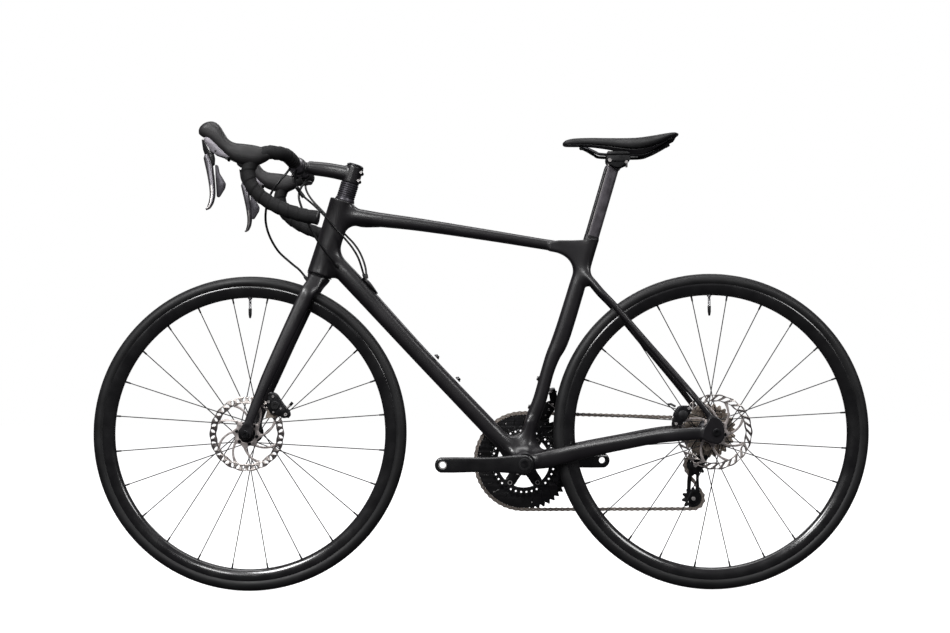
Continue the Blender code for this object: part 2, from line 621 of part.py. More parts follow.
def build_wheels():
    bore = AXLE_RADIUS + 0.4
    front_flange, rear_left, rear_right = 23.0, 24.0, 27.0
    front_hub = [(bore, -49.6), (9, -49.6), (16.5, -41), (16.5, -34), (front_flange, -26),
                 (front_flange, -22), (11, -18), (11, 30), (front_flange, 34), (front_flange, 38), (9, 42),
                 (9, 49.6), (bore, 49.6)]
    build_wheel("front", FRONT_AXLE, FRONT_ROTOR_Y, ((-24, front_flange - 4), (36, front_flange - 4)),
                front_hub)
    rear_hub = [(bore, -70.6), (10, -70.6), (16.5, -56), (16.5, -48), (13, -44), (rear_left, -37),
                (rear_left, -33), (13, -28), (13, 14), (rear_right, 17), (rear_right, 21), (10, 23.5),
                (bore, 23.5)]
    build_wheel("rear", REAR_AXLE, REAR_ROTOR_Y, ((-35, rear_left - 4), (19, rear_right - 4)), rear_hub)
    thru = cylinder("front_thru_axle", FRONT_AXLE - UNIT_Y * 61.5, FRONT_AXLE + UNIT_Y * 61.5, AXLE_RADIUS, 10)
    join(thru, cylinder("head", FRONT_AXLE - UNIT_Y * 65, FRONT_AXLE - UNIT_Y * 61.4, 8.5, 10))
    finish(thru, "anodised_black")


# ---------------------------------------------------------------- drive

def pitch_radius(teeth):
    return LINK_PITCH / (2 * sin(pi / teeth))


def toothed_ring(name, centre, teeth, inner, thickness, phase=0.0):
    """A chainring or pulley with pointed teeth, on a round bore."""
    pitch = pitch_radius(teeth)
    outline = []
    for i in range(teeth):
        for offset, radius in ((0, pitch - 3.6), (0.5, pitch + 3.2)):
            angle = 2 * pi * (i + offset) / teeth + phase
            outline.append(centre + Vector((cos(angle), 0, sin(angle))) * radius)
    half = UNIT_Y * thickness / 2
    ring = make_object(name, [[p - half for p in outline], [p + half for p in outline]])
    return cut(ring, cylinder("bore", centre - half * 3, centre + half * 3, inner, 24 if inner > 10 else 8))


def arm_outline(direction):
    """Crank arm seen from the side: a wide root, a slight waist and a round end."""
    points = []
    for x, z in [(0, 20), (60, 15.6), (150, 16.2)] + arc((CRANK_LENGTH, 0), 16.6, 70, -70, 7) + \
            [(150, -16.2), (60, -15.6), (0, -20)] + arc((0, 0), 20, 250, 110, 7):
        points.append((CRANK_CENTRE.x + direction * x, CRANK_CENTRE.z + z))
    return points


def crank_arm(name, direction, side, root_inner, root_outer):
    """Extrude the arm and lean it outwards, so that its end clears the stays."""
    low = [Vector((x, 0, z)) for x, z in arm_outline(direction)]
    rings = []
    for face in ("inner", "outer"):
        ring = []
        for point in low:
            reach = max(0.0, min(1.0, (abs(point.x - CRANK_CENTRE.x) - 20) / 110))
            inner = root_inner + (60.5 - root_inner) * reach
            outer = root_outer + (73 - root_outer) * reach
            ring.append(point + UNIT_Y * side * (inner if face == "inner" else outer))
        rings.append(ring)
    return make_object(name, rings)


def pedal_seat(direction, side):
    """A flat round seat, barely proud of the arm, for the pedal's shoulder."""
    end = CRANK_CENTRE + UNIT_X * direction * CRANK_LENGTH
    return cylinder("pedal_seat", end + UNIT_Y * side * 62, end + UNIT_Y * side * 73.4, 13, 14)


def pedal_hole(direction):
    end = CRANK_CENTRE + UNIT_X * direction * CRANK_LENGTH
    return cylinder("pedal_hole", end - UNIT_Y * 90, end + UNIT_Y * 90, 7.15, 14)


def build_cranks():
    left = join(crank_arm("crank_arm_left", -1, -1, 46.2, 66), pedal_seat(-1, -1))
    cut(left, cylinder("spindle_hole", CRANK_CENTRE - UNIT_Y * 90, CRANK_CENTRE, SPINDLE_RADIUS + 0.5, 12),
        pedal_hole(-1))
    finish(left, "gloss_black")
    right = join(crank_arm("crank_arm_right", 1, 1, 54.5, 66), pedal_seat(1, 1))
    spindle = cylinder("spindle", CRANK_CENTRE - UNIT_Y * 67, CRANK_CENTRE + UNIT_Y * 60, SPINDLE_RADIUS, 12)
    join(right, spindle, turned("spider_hub", CRANK_CENTRE, UNIT_Y, [(8, 46.3), (24, 46.3), (27, 50),
                                                                     (24, 58), (8, 58)], 14))
    for tilt in (-33, 33, 147, 213):
        angle = radians(tilt - 90)
        out = Vector((cos(angle), 0, sin(angle)))
        ahead = Vector((-sin(angle), 0, cos(angle)))
        arm = [out * 18 - ahead * 9, out * 18 + ahead * 9, out * 58 + ahead * 6.5, out * 63,
               out * 58 - ahead * 6.5]
        rings = [[CRANK_CENTRE + p + UNIT_Y * y for p in arm] for y in (49.0, 53.5)]
        join(right, make_object("spider_arm", rings))
        bolt = CRANK_CENTRE + out * BOLT_CIRCLE_RADIUS
        join(right, cylinder("chainring_bolt", bolt + UNIT_Y * 38, bolt + UNIT_Y * 50, 3.4, 6))
    finish(cut(right, pedal_hole(1)), "gloss_black")


def build_chainrings():
    for name, teeth, y, inner in (("chainring_large", RING_TEETH[0], RING_Y[0], 50.0),
                                  ("chainring_small", RING_TEETH[1], RING_Y[1], 48.5)):
        centre = CRANK_CENTRE + UNIT_Y * y
        ring = toothed_ring(name, centre, teeth, inner, RING_THICKNESS, pi / 2 + pi / teeth)
        for tilt in (-33, 33, 147, 213):
            angle = radians(tilt - 90)
            bolt = CRANK_CENTRE + Vector((cos(angle), 0, sin(angle))) * BOLT_CIRCLE_RADIUS
            cut(ring, cylinder("bolt_hole", bolt + UNIT_Y * (y - 5), bolt + UNIT_Y * (y + 5), 4.3, 6))
        finish(ring, "gloss_black")


def build_cassette():
    """Cogs on a hollow carrier: the ones beside the chain stand apart, the rest step down a cone."""
    bore, half = AXLE_RADIUS + 1.0, 0.8
    profile = [(bore, FIRST_COG_Y + 3.4), (18.5, FIRST_COG_Y + 3.4)]
    for i, teeth in enumerate(COG_TEETH):
        y = FIRST_COG_Y - i * COG_SPACING
        tip = pitch_radius(teeth) + 2.6
        if i <= CHAIN_COG + 1:
            floor = pitch_radius(teeth) - 6.5
            profile += [(floor, y + half), (tip, y + half), (tip, y - half), (floor, y - half)]
        else:
            profile += [(tip, y + half), (tip, y + half - COG_SPACING)]
    end = FIRST_COG_Y - (len(COG_TEETH) - 1) * COG_SPACING
    profile[-1] = (profile[-1][0], end - half)
    profile.append((bore, end - half))
    finish(turned("cassette", REAR_AXLE, UNIT_Y, profile, 14), "steel")


def build_pulleys():
    for name, centre in (("guide_pulley", GUIDE_PULLEY), ("tension_pulley", TENSION_PULLEY)):
        ring = toothed_ring(name, centre + UNIT_Y * COG_Y, PULLEY_TEETH, 3.2, 1.8, pi / 2)
        finish(ring, "rubber")


def build_derailleur_cage():
    def plate(y_low, y_high):
        outline = [(481, 262), (474, 272), (463, 271), (457, 262), (452, 225), (451, 192), (456, 178),
                   (467, 174), (477, 182), (480, 200), (478, 232)]
        return prism("plate", outline, y_low, y_high)
    cage = plate(COG_Y + 4, COG_Y + 6)
    join(cage, plate(COG_Y - 6, COG_Y - 4))
    for centre in (GUIDE_PULLEY, TENSION_PULLEY):
        join(cage, cylinder("pulley_bolt", centre + UNIT_Y * (COG_Y - 5.5), centre + UNIT_Y * (COG_Y + 5.5),
                            2.7, 8))
    window = [(460, 208), (473, 208), (474, 238), (463, 238)]
    cut(cage, prism("window", window, COG_Y - 20, COG_Y + 20))
    finish(cage, "anodised_black", "derailleur_cage")


def build_derailleurs():
    body = [((503, 90, 303), 9, 3.5), ((501, 84, 297), 11, 6), ((493, 80, 284), 12.5, 8.5),
            ((484, 77, 272), 12.5, 8), ((476, 75, 263), 10.5, 5.5), ((470, 74, 258), 7, 3)]
    part = loft("rear_derailleur", body, 2.6, 10)
    cut(part, prism("hanger_room", [(480, 360), (480, 288), (520, 288), (520, 360)], 60, 86.8))
    finish(part, "anodised_black")
    arm = loft("front_derailleur", [((158, 26, 428), 7, 5), ((160, 34, 410), 9, 6), ((163, 44, 397), 8, 9)],
               2.5, 8)
    outer = [(132, 352), (150, 362), (172, 396), (170, 404), (142, 388), (128, 372)]
    join(arm, prism("outer_plate", outer, 52.2, 53.4), prism("inner_plate", outer, 42.2, 43.4),
         box("bridge", (150, 42.2, 388), (170, 53.4, 396)))
    cut(arm, box("tube_room", (100, -20, 380), (153, 30, 440)))
    finish(arm, "anodised_black")


def tangent_points(first, first_radius, first_turn, second, second_radius, second_turn):
    """Ends of the straight run between two wheels. A turn of 1 keeps the wheel on the run's right."""
    delta = second - first
    spread = atan2(delta.z, delta.x)
    reach = hypot(delta.x, delta.z)
    swing = asin((first_turn * first_radius - second_turn * second_radius) / reach)
    angle = spread - swing
    normal = Vector((-sin(angle), 0, cos(angle)))
    return first + normal * first_radius * first_turn, second + normal * second_radius * second_turn


def chain_route():
    """Closed centre line of the chain: ring, top run, cog, guide pulley, tension pulley, lower run."""
    wheels = [(CRANK_CENTRE, pitch_radius(RING_TEETH[0]), 1, RING_Y[0], 15),
              (REAR_AXLE, pitch_radius(COG_TEETH[CHAIN_COG]), 1, COG_Y, 5),
              (GUIDE_PULLEY, pitch_radius(PULLEY_TEETH), -1, COG_Y, 4),
              (TENSION_PULLEY, pitch_radius(PULLEY_TEETH), 1, COG_Y, 5)]
    runs = []
    for i, (centre, radius, turn, y, _) in enumerate(wheels):
        following = wheels[(i + 1) % len(wheels)]
        runs.append(tangent_points(centre, radius, turn, following[0], following[1], following[2]))
    route = []
    for i, (centre, radius, turn, y, steps) in enumerate(wheels):
        start, stop = runs[i - 1][1] - centre, runs[i][0] - centre
        first, last = atan2(start.z, start.x), atan2(stop.z, stop.x)
        while turn * (first - last) < 0:
            last -= turn * 2 * pi
        for k in range(steps + 1):
            angle = first + (last - first) * k / steps
            route.append(centre + Vector((cos(angle) * radius, y, sin(angle) * radius)))
        next_y = wheels[(i + 1) % len(wheels)][3]
        if abs(next_y - y) > 1:
            begin, end = runs[i]
            for share in (0.14, 0.86):
                spot = begin.lerp(end, share)
                route.append(Vector((spot.x, y if share < 0.5 else next_y, spot.z)))
    return route


def build_chain():
    """Two rows of link plates beside the teeth, tied together by pins on the free runs."""
    route = chain_route()
    count = len(route)
    rows = []
    for low, high in ((-2.5, -1.3), (1.3, 2.5)):
        rings = []
        for i, point in enumerate(route):
            ahead = route[(i + 1) % count] - route[i - 1]
            normal = Vector((-ahead.z, 0, ahead.x)).normalized() * 3.9
            rings.append([point - normal + UNIT_Y * low, point + normal + UNIT_Y * low,
                          point + normal + UNIT_Y * high, point - normal + UNIT_Y * high])
        rows.append(make_object("chain", rings, loops=True))
    chain = join(rows[0], rows[1])
    for i, point in enumerate(route):
        following = route[(i + 1) % count]
        if (following - point).length > 200:
            for share in (0.25, 0.5, 0.75):
                spot = point.lerp(following, share)
                join(chain, cylinder("pin", spot - UNIT_Y * 2, spot + UNIT_Y * 2, 2.0, 6))
    finish(chain, "chain_steel", "chain")


# ---------------------------------------------------------------- seat

def build_seatpost():
    low = COLLAR - SEAT_AXIS * POST_INSERT
    high = COLLAR + SEAT_AXIS * 138
    neck = COLLAR + SEAT_AXIS * 158 + UNIT_X * 6
    post = loft("seatpost", [(low, POST_DEPTH, POST_WIDTH), (high, POST_DEPTH, POST_WIDTH),
                             (neck, POST_DEPTH - 7, POST_WIDTH)], 2.6, 12)
    join(post, cylinder("head", POST_HEAD - UNIT_Y * 16, POST_HEAD + UNIT_Y * 16, HEAD_RADIUS, 14))
    finish(post, "carbon")


def rail_route():
    """Both saddle rails as one rod, bent round at the nose."""
    half = [(415, 34, 957), (397, 32, 945), (372, 26, 931), (345, RAIL_HALF_GAUGE, 922.6),
            (268, RAIL_HALF_GAUGE, 926.2), (252, 19, 931), (238, 14, 939.5), (228, 9, 943.5), (223, 3.5, 944)]
    return [Vector((x, -y, z)) for x, y, z in half] + [Vector((x, y, z)) for x, y, z in half[::-1]]


def rail_bores(radius):
    cutters = []
    for side in (-1, 1):
        centre = Vector((306.5, side * RAIL_HALF_GAUGE, 924.4))
        cutters.append(cylinder("rail_bore", centre - RAIL_SLOPE * 60, centre + RAIL_SLOPE * 60, radius, 8))
    return cutters


def build_saddle_clamp():
    bolt_places = (281.5, 320.5)
    lower = box("saddle_clamp_lower", (276.5, -28, 912.5), (325.5, 28, 923.6))
    cut(lower, cylinder("head_room", POST_HEAD - UNIT_Y * 40, POST_HEAD + UNIT_Y * 40, HEAD_RADIUS + 0.8, 14),
        *rail_bores(RAIL_RADIUS + 0.6))
    upper = box("saddle_clamp_upper", (276.5, -28, 925.2), (325.5, 28, 932.5))
    cut(upper, *rail_bores(RAIL_RADIUS + 0.6))
    for clamp in (lower, upper):
        for x in bolt_places:
            cut(clamp, cylinder("bolt_hole", (x, 0, 890), (x, 0, 950), 3.2, 8))
        finish(clamp, "anodised_black")
    for word, x in zip(("front", "rear"), bolt_places):
        bolt = cylinder(f"clamp_bolt_{word}", (x, 0, 908), (x, 0, 936), 2.5, 8)
        join(bolt, cylinder("nut", (x, -6, 908.8), (x, 6, 908.8), 3.3, 8),
             cylinder("head", (x, 0, 933), (x, 0, 937.5), 4.3, 8))
        finish(bolt, "steel")


SADDLE_STATIONS = [            # x, lowest edge, top, half width, underside
    (182.5, 951, 961, 9, 953), (190, 948.5, 967, 16, 952), (207, 948, 971, 19, 952.5),
    (240, 948.5, 972.5, 21, 953.5), (280, 944, 971.2, 26, 953), (315, 937, 970, 36, 951),
    (345, 936, 970.5, 51, 950.5), (375, 943, 974, 65, 953.5), (400, 954, 978.5, 71, 960),
    (418, 962, 981, 66, 966), (428.5, 966.5, 977, 48, 969.5)]


def saddle_section(x, edge, top, width, under):
    """One cross-section: a crowned top, a skirt that hangs at the sides and a hollow underside."""
    ring = []
    for share, drop in ((-1, 1), (-0.92, 0.42), (-0.62, 0.1), (0, 0), (0.62, 0.1), (0.92, 0.42), (1, 1)):
        ring.append(Vector((x, share * width, top - (top - edge) * drop)))
    inside = width - min(4, width * 0.3)
    ring += [Vector((x, inside, edge)), Vector((x, width * 0.45, under))]
    return ring + [Vector((x, -width * 0.45, under)), Vector((x, -inside, edge))]


def build_saddle():
    cover = make_object("saddle_cover", [saddle_section(*station) for station in SADDLE_STATIONS])
    finish(cover, "saddle_cover")
    rings = []
    for x, edge, top, width, under in SADDLE_STATIONS[1:-1]:
        reach = width * 0.42
        rings.append([Vector((x, -reach, under - 0.5)), Vector((x, reach, under - 0.5)),
                      Vector((x, reach, under - 4)), Vector((x, -reach, under - 4))])
    finish(make_object("saddle_shell", rings), "anodised_black")
    route = rail_route()
    finish(round_tube("saddle_rails", route, [RAIL_RADIUS] * len(route), 8), "anodised_black")


# ---------------------------------------------------------------- motion

def place_pivots():
    """Put each moving piece's origin on its joint, and nest the joints as they carry each other."""
    steering = make_pivot("steering_pivot", STEER_POINT)
    for name in ("fork", "headset_spacers", "stem", "stem_faceplate", "stem_top_cap", "handlebar",
                 "bar_tape_left", "bar_tape_right", "shifter_left", "shifter_right", "front_brake_caliper",
                 "front_thru_axle", "front_brake_hose"):
        set_pivot(bpy.data.objects[name], STEER_POINT, steering)
    for side, word in ((-1, "left"), (1, "right")):
        offset = UNIT_Y * side * BAR_HALF_WIDTH
        set_pivot(bpy.data.objects[f"lever_pivot_{word}"], LEVER_PIVOT + offset)
        set_pivot(bpy.data.objects[f"lever_blade_{word}"], SWING_PIVOT + offset)
        set_pivot(bpy.data.objects[f"shift_paddle_{word}"], PADDLE_PIVOT + offset)
    for word, axle in (("front", FRONT_AXLE), ("rear", REAR_AXLE)):
        wheel = make_pivot(f"{word}_wheel_pivot", axle)
        for part in ("hub", "rim", "tyre", "valve", "rotor"):
            set_pivot(bpy.data.objects[f"{word}_{part}"], axle, wheel)
    crank = make_pivot("crank_pivot", CRANK_CENTRE)
    for name in ("crank_arm_left", "crank_arm_right", "chainring_large", "chainring_small"):
        set_pivot(bpy.data.objects[name], CRANK_CENTRE, crank)
    set_pivot(bpy.data.objects["cassette"], REAR_AXLE)
    set_pivot(bpy.data.objects["guide_pulley"], GUIDE_PULLEY)
    set_pivot(bpy.data.objects["tension_pulley"], TENSION_PULLEY)
    seat = make_pivot("saddle_tilt_pivot", POST_HEAD)
    for name in ("saddle_clamp_lower", "saddle_clamp_upper", "clamp_bolt_front", "clamp_bolt_rear",
                 "saddle_rails", "saddle_shell", "saddle_cover"):
        set_pivot(bpy.data.objects[name], POST_HEAD, seat)


def main():
    clear_scene()
    build_frame()
    build_headset()
    build_bottom_bracket()
    build_frame_hardware()
    build_fork()
    build_spacers()
    build_stem()
    build_handlebar()
    for side, word in ((-1, "left"), (1, "right")):
        build_shifter(side, word)
        build_lever(side, word)
    build_calipers()
    build_hoses()
    build_wheels()
    build_cranks()
    build_chainrings()
    build_cassette()
    build_pulleys()
    build_derailleur_cage()
    build_derailleurs()
    build_chain()
    build_seatpost()
    build_saddle_clamp()
    build_saddle()
    place_pivots()


main()
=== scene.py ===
"""Looks of the road bicycle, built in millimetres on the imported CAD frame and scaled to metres.

The bicycle faces -X, its drive side is +Y, and it stands on z = 0.
"""
from math import asin, atan2, ceil, copysign, cos, hypot, pi, radians, sin

import bmesh
import bpy
import numpy as np
from mathutils import Matrix, Vector


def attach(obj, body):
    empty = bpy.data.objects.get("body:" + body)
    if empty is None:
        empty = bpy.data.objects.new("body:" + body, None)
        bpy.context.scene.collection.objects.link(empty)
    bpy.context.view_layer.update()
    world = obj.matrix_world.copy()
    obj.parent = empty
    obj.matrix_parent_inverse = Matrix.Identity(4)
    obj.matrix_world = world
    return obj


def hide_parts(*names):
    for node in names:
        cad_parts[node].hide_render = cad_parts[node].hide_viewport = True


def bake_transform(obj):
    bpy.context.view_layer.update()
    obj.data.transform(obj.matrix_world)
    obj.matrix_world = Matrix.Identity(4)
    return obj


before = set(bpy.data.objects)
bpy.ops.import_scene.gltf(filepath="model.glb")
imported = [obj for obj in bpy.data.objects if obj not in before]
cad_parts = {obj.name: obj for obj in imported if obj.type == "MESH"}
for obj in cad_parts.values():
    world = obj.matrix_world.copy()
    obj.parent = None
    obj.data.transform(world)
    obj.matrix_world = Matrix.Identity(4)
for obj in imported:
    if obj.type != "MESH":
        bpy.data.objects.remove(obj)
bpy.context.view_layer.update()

MM = 0.001
UNIT_X, UNIT_Y, UNIT_Z = Vector((1, 0, 0)), Vector((0, 1, 0)), Vector((0, 0, 1))

# Places of the bicycle, as in the CAD
FRONT_AXLE, REAR_AXLE = Vector((-495.5, 0, 338)), Vector((495.5, 0, 338))
RIM_INNER, SPOKES = 291.5, 24
FRONT_ROTOR_Y, REAR_ROTOR_Y, ROTOR_RADIUS = -39.0, -53.0, 80.0
STEER_POINT = Vector((-285, 0, 857))
STEER_AXIS = Vector((0.2974, 0, 0.9548)).normalized()
STEER_FORWARD = Vector((-STEER_AXIS.z, 0, STEER_AXIS.x))
HEAD_BOTTOM, HEAD_TOP, SPACERS_TOP, STEM_TOP = -189.0, -20.0, 20.5, 58.0
BAR_CENTRE = Vector((-390, 0, 912))
CRANK_CENTRE, CRANK_LENGTH = Vector((94.4, 0, 272)), 172.5
LINK_PITCH = 12.7
RING_TEETH, RING_Y = (52, 36), (47.5, 40.5)
BOLT_CIRCLE, BOLT_ANGLES = 55, [radians(turn) for turn in (-123, -57, 57, 123)]
COG_TEETH = (11, 12, 13, 14, 15, 17, 19, 21, 23, 25, 28)
COG_SPACING, FIRST_COG_Y, CHAIN_COG = 3.74, 64.3, 1
COG_Y = FIRST_COG_Y - CHAIN_COG * COG_SPACING
GUIDE_PULLEY, TENSION_PULLEY, PULLEY_TEETH = Vector((470, 0, 261)), Vector((465, 0, 188)), 11
SEAT_AXIS = Vector((0.2874, 0, 0.958)).normalized()
COLLAR = Vector((242, 0, 751))
POST_HEAD = Vector((300, 0, 909))
HOOD_Y = 210.0


# ---------------------------------------------------------------- materials

def new_material(name, colour, roughness, metallic=0.0, coat=0.0, coat_roughness=0.1, specular=0.5):
    made = bpy.data.materials.new(name)
    made.use_nodes = True
    shader = made.node_tree.nodes["Principled BSDF"]
    shader.inputs["Base Color"].default_value = (*colour, 1)
    shader.inputs["Roughness"].default_value = roughness
    shader.inputs["Metallic"].default_value = metallic
    shader.inputs["Coat Weight"].default_value = coat
    shader.inputs["Coat Roughness"].default_value = coat_roughness
    shader.inputs["Specular IOR Level"].default_value = specular
    return made


def add_node(made, kind, **values):
    node = made.node_tree.nodes.new(kind)
    for key, value in values.items():
        if hasattr(node, key):
            setattr(node, key, value)
        else:
            node.inputs[key].default_value = value
    return node


def link(made, source, output, target, field):
    made.node_tree.links.new(source.outputs[output], target.inputs[field])


def grain_node(made, kind, **values):
    """A texture over the piece's own coordinates, so that its grain has one scale everywhere."""
    grain = add_node(made, kind, **values)
    link(made, add_node(made, "ShaderNodeTexCoord"), "Object", grain, "Vector")
    return grain


def noise(made, scale, detail):
    return grain_node(made, "ShaderNodeTexNoise", Scale=scale, Detail=detail)


def cells(made, scale, feature="F1"):
    return grain_node(made, "ShaderNodeTexVoronoi", Scale=scale, feature=feature)


def vary_colour(made, source, low, high):
    """Colour between low and high, after the middle part of a noise's values."""
    ramp = add_node(made, "ShaderNodeValToRGB")
    for element, position, colour in zip(ramp.color_ramp.elements, (0.35, 0.65), (low, high)):
        element.position, element.color = position, (*colour, 1)
    link(made, source, "Fac", ramp, "Fac")
    link(made, ramp, "Color", made.node_tree.nodes["Principled BSDF"], "Base Color")


def vary_roughness(made, source, low, high):
    """Roughness between low and high, after the middle part of a noise's values."""
    spread = add_node(made, "ShaderNodeMapRange")
    for field, value in (("From Min", 0.3), ("From Max", 0.7), ("To Min", low), ("To Max", high)):
        spread.inputs[field].default_value = value
    link(made, source, "Fac", spread, "Value")
    link(made, spread, "Result", made.node_tree.nodes["Principled BSDF"], "Roughness")


def add_bump(made, source, output, strength, distance):
    bump = add_node(made, "ShaderNodeBump", Strength=strength, Distance=distance)
    link(made, source, output, bump, "Height")
    shader = made.node_tree.nodes["Principled BSDF"]
    before = shader.inputs["Normal"].links
    if before:
        made.node_tree.links.new(before[0].from_socket, bump.inputs["Normal"])
    link(made, bump, "Normal", shader, "Normal")


def make_carbon():
    made = new_material("carbon_satin", (0.006, 0.0055, 0.0065), 0.36, coat=0.35, coat_roughness=0.2)
    cloud = noise(made, 14, 3)
    vary_colour(made, cloud, (0.005, 0.0045, 0.0055), (0.009, 0.0078, 0.0095))
    vary_roughness(made, cloud, 0.32, 0.42)
    return made


def make_gloss():
    made = new_material("gloss_black", (0.008, 0.008, 0.0085), 0.2, coat=0.6, coat_roughness=0.08)
    smear = noise(made, 30, 4)
    vary_colour(made, smear, (0.007, 0.007, 0.0075), (0.011, 0.011, 0.0115))
    vary_roughness(made, smear, 0.16, 0.3)
    return made


def make_rubber(name, colour, roughness, scale, depth):
    made = new_material(name, colour, roughness, specular=0.4)
    dust = noise(made, 22, 5)
    vary_colour(made, dust, colour, [1.5 * c for c in colour])
    vary_roughness(made, dust, roughness - 0.08, roughness + 0.08)
    add_bump(made, noise(made, scale, 3), "Fac", 0.35, depth)
    return made


def make_hood():
    made = new_material("hood_rubber", (0.014, 0.0135, 0.014), 0.5, specular=0.45)
    vary_colour(made, noise(made, 25, 4), (0.012, 0.0115, 0.012), (0.019, 0.018, 0.019))
    add_bump(made, cells(made, 900), "Distance", 0.25, 0.0004)
    vary_roughness(made, noise(made, 60, 3), 0.42, 0.6)
    return made


def make_tape():
    made = new_material("bar_tape", (0.010, 0.010, 0.0105), 0.78, specular=0.3)
    vary_colour(made, noise(made, 40, 5), (0.008, 0.008, 0.0085), (0.015, 0.015, 0.0155))
    add_bump(made, cells(made, 620, "SMOOTH_F1"), "Distance", 0.35, 0.0006)
    add_bump(made, noise(made, 1800, 2), "Fac", 0.2, 0.0003)
    return made


def make_metal(name, colour, roughness, metallic, scale):
    """Metal with a fine uneven finish: roughness and tone change a little over it."""
    made = new_material(name, colour, roughness, metallic)
    wear = noise(made, scale, 6)
    vary_colour(made, wear, [0.82 * c for c in colour], [1.15 * c for c in colour])
    vary_roughness(made, wear, roughness - 0.08, roughness + 0.08)
    add_bump(made, noise(made, scale * 14, 2), "Fac", 0.08, 0.0002)
    return made


def make_rotor_steel():
    """Steel brushed around the axle: its highlights fan out above and below the hub."""
    made = make_metal("rotor_steel", (0.62, 0.57, 0.54), 0.32, 1.0, 200)
    shader = made.node_tree.nodes["Principled BSDF"]
    shader.inputs["Anisotropic"].default_value = 0.75
    shader.inputs["Anisotropic Rotation"].default_value = 0.25
    tangent = add_node(made, "ShaderNodeTangent", direction_type="RADIAL", axis="Y")
    link(made, tangent, "Tangent", shader, "Tangent")
    return made


def make_saddle():
    made = new_material("saddle_cover", (0.013, 0.013, 0.0135), 0.62, specular=0.4)
    vary_colour(made, noise(made, 30, 5), (0.011, 0.011, 0.0115), (0.018, 0.018, 0.0185))
    vary_roughness(made, noise(made, 45, 4), 0.5, 0.7)
    add_bump(made, cells(made, 1100), "Distance", 0.3, 0.0003)
    return made


CARBON = make_carbon()
GLOSS = make_gloss()
TYRE = make_rubber("tyre_rubber", (0.0075, 0.0075, 0.008), 0.5, 700, 0.0001)
HOOD = make_hood()
TAPE = make_tape()
PLASTIC = make_rubber("black_plastic", (0.008, 0.008, 0.0085), 0.42, 2200, 0.0001)
CABLE = make_rubber("cable_sheath", (0.009, 0.009, 0.0095), 0.34, 1600, 0.0001)
SADDLE = make_saddle()
ANODISED = make_metal("black_anodised", (0.022, 0.022, 0.024), 0.34, 0.75, 120)
ANODISED_MATTE = make_metal("black_anodised_matte", (0.016, 0.016, 0.017), 0.48, 0.5, 160)
SILVER = make_metal("polished_aluminium", (0.62, 0.62, 0.63), 0.24, 1.0, 70)
STEEL = make_metal("machine_steel", (0.5, 0.48, 0.47), 0.36, 0.55, 110)
# Seatpost grey, lighter than the frame's black: a painted sheen on the post's flat sides
POST_PAINTED_SHEEN = make_metal("post_painted_sheen", (0.085, 0.078, 0.088), 0.4, 0.5, 60)
ROTOR_ARM = make_metal("rotor_arm_steel", (0.55, 0.5, 0.48), 0.4, 0.6, 150)
ROTOR = make_rotor_steel()
COG = make_metal("cog_nickel", (0.50, 0.43, 0.36), 0.36, 0.85, 130)
CHAIN = make_metal("chain_steel", (0.36, 0.31, 0.27), 0.42, 0.75, 260)
LEVER = make_metal("lever_grey", (0.17, 0.163, 0.178), 0.33, 0.75, 60)
DARK_LEVER = make_metal("paddle_grey", (0.06, 0.057, 0.066), 0.36, 0.6, 60)
BRACKET = make_metal("bracket_grey", (0.22, 0.208, 0.23), 0.42, 0.5, 80)
BAR = make_metal("bar_anodised", (0.26, 0.25, 0.27), 0.3, 0.8, 60)
SPOKE = make_metal("spoke_steel", (0.028, 0.028, 0.03), 0.36, 0.6, 60)


# ---------------------------------------------------------------- geometry

def smooth_path(points, steps):
    """Catmull-Rom curve through the points, with this many steps in each span."""
    points = [Vector(p) for p in points]
    padded = [2 * points[0] - points[1], *points, 2 * points[-1] - points[-2]]
    out = []
    for i in range(1, len(padded) - 2):
        a, b, c, d = padded[i - 1:i + 3]
        for k in range(steps):
            t = k / steps
            out.append(0.5 * (2 * b + (c - a) * t + (2 * a - 5 * b + 4 * c - d) * t ** 2
                              + (3 * b - a - 3 * c + d) * t ** 3))
    return out + [points[-1]]


def smooth_stations(stations, steps):
    """The same curve for loft stations of (centre, half depth, half width)."""
    centres = smooth_path([s[0] for s in stations], steps)
    sizes = smooth_path([(s[1], s[2], 0) for s in stations], steps)
    return [(c, size.x, size.y) for c, size in zip(centres, sizes)]


def superellipse(centre, across, side, half_across, half_side, power=2.0, sides=12):
    ring = []
    for i in range(sides):
        angle = 2 * pi * (i + 0.5) / sides
        c, s = cos(angle), sin(angle)
        u = half_across * copysign(abs(c) ** (2 / power), c)
        v = half_side * copysign(abs(s) ** (2 / power), s)
        ring.append(centre + across * u + side * v)
    return ring


def plane_frames(points):
    """Across and side directions for a path, with the across direction kept in the XZ plane."""
    frames = []
    for i in range(len(points)):
        tangent = (points[min(i + 1, len(points) - 1)] - points[max(i - 1, 0)]).normalized()
        if abs(tangent.y) < 0.97:
            across = Vector((-tangent.z, 0, tangent.x)).normalized()
        else:
            across = UNIT_Z.copy()
        if frames and across.dot(frames[-1][0]) < 0:
            across = -across
        frames.append((across, tangent.cross(across).normalized()))
    return frames


def round_frames(points):
    """Frames carried along a path without twist."""
    frames = []
    across = None
    for i in range(len(points)):
        tangent = (points[min(i + 1, len(points) - 1)] - points[max(i - 1, 0)]).normalized()
        if across is None:
            across = tangent.orthogonal()
        across = (across - tangent * across.dot(tangent)).normalized()
        frames.append((across, tangent.cross(across).normalized()))
    return frames


def arc(centre, radius, start, end, count):
    """Points of (x, z) along an arc, angles in degrees from +X towards +Z."""
    return [(centre[0] + radius * cos(radians(start + (end - start) * i / (count - 1))),
             centre[1] + radius * sin(radians(start + (end - start) * i / (count - 1))))
            for i in range(count)]


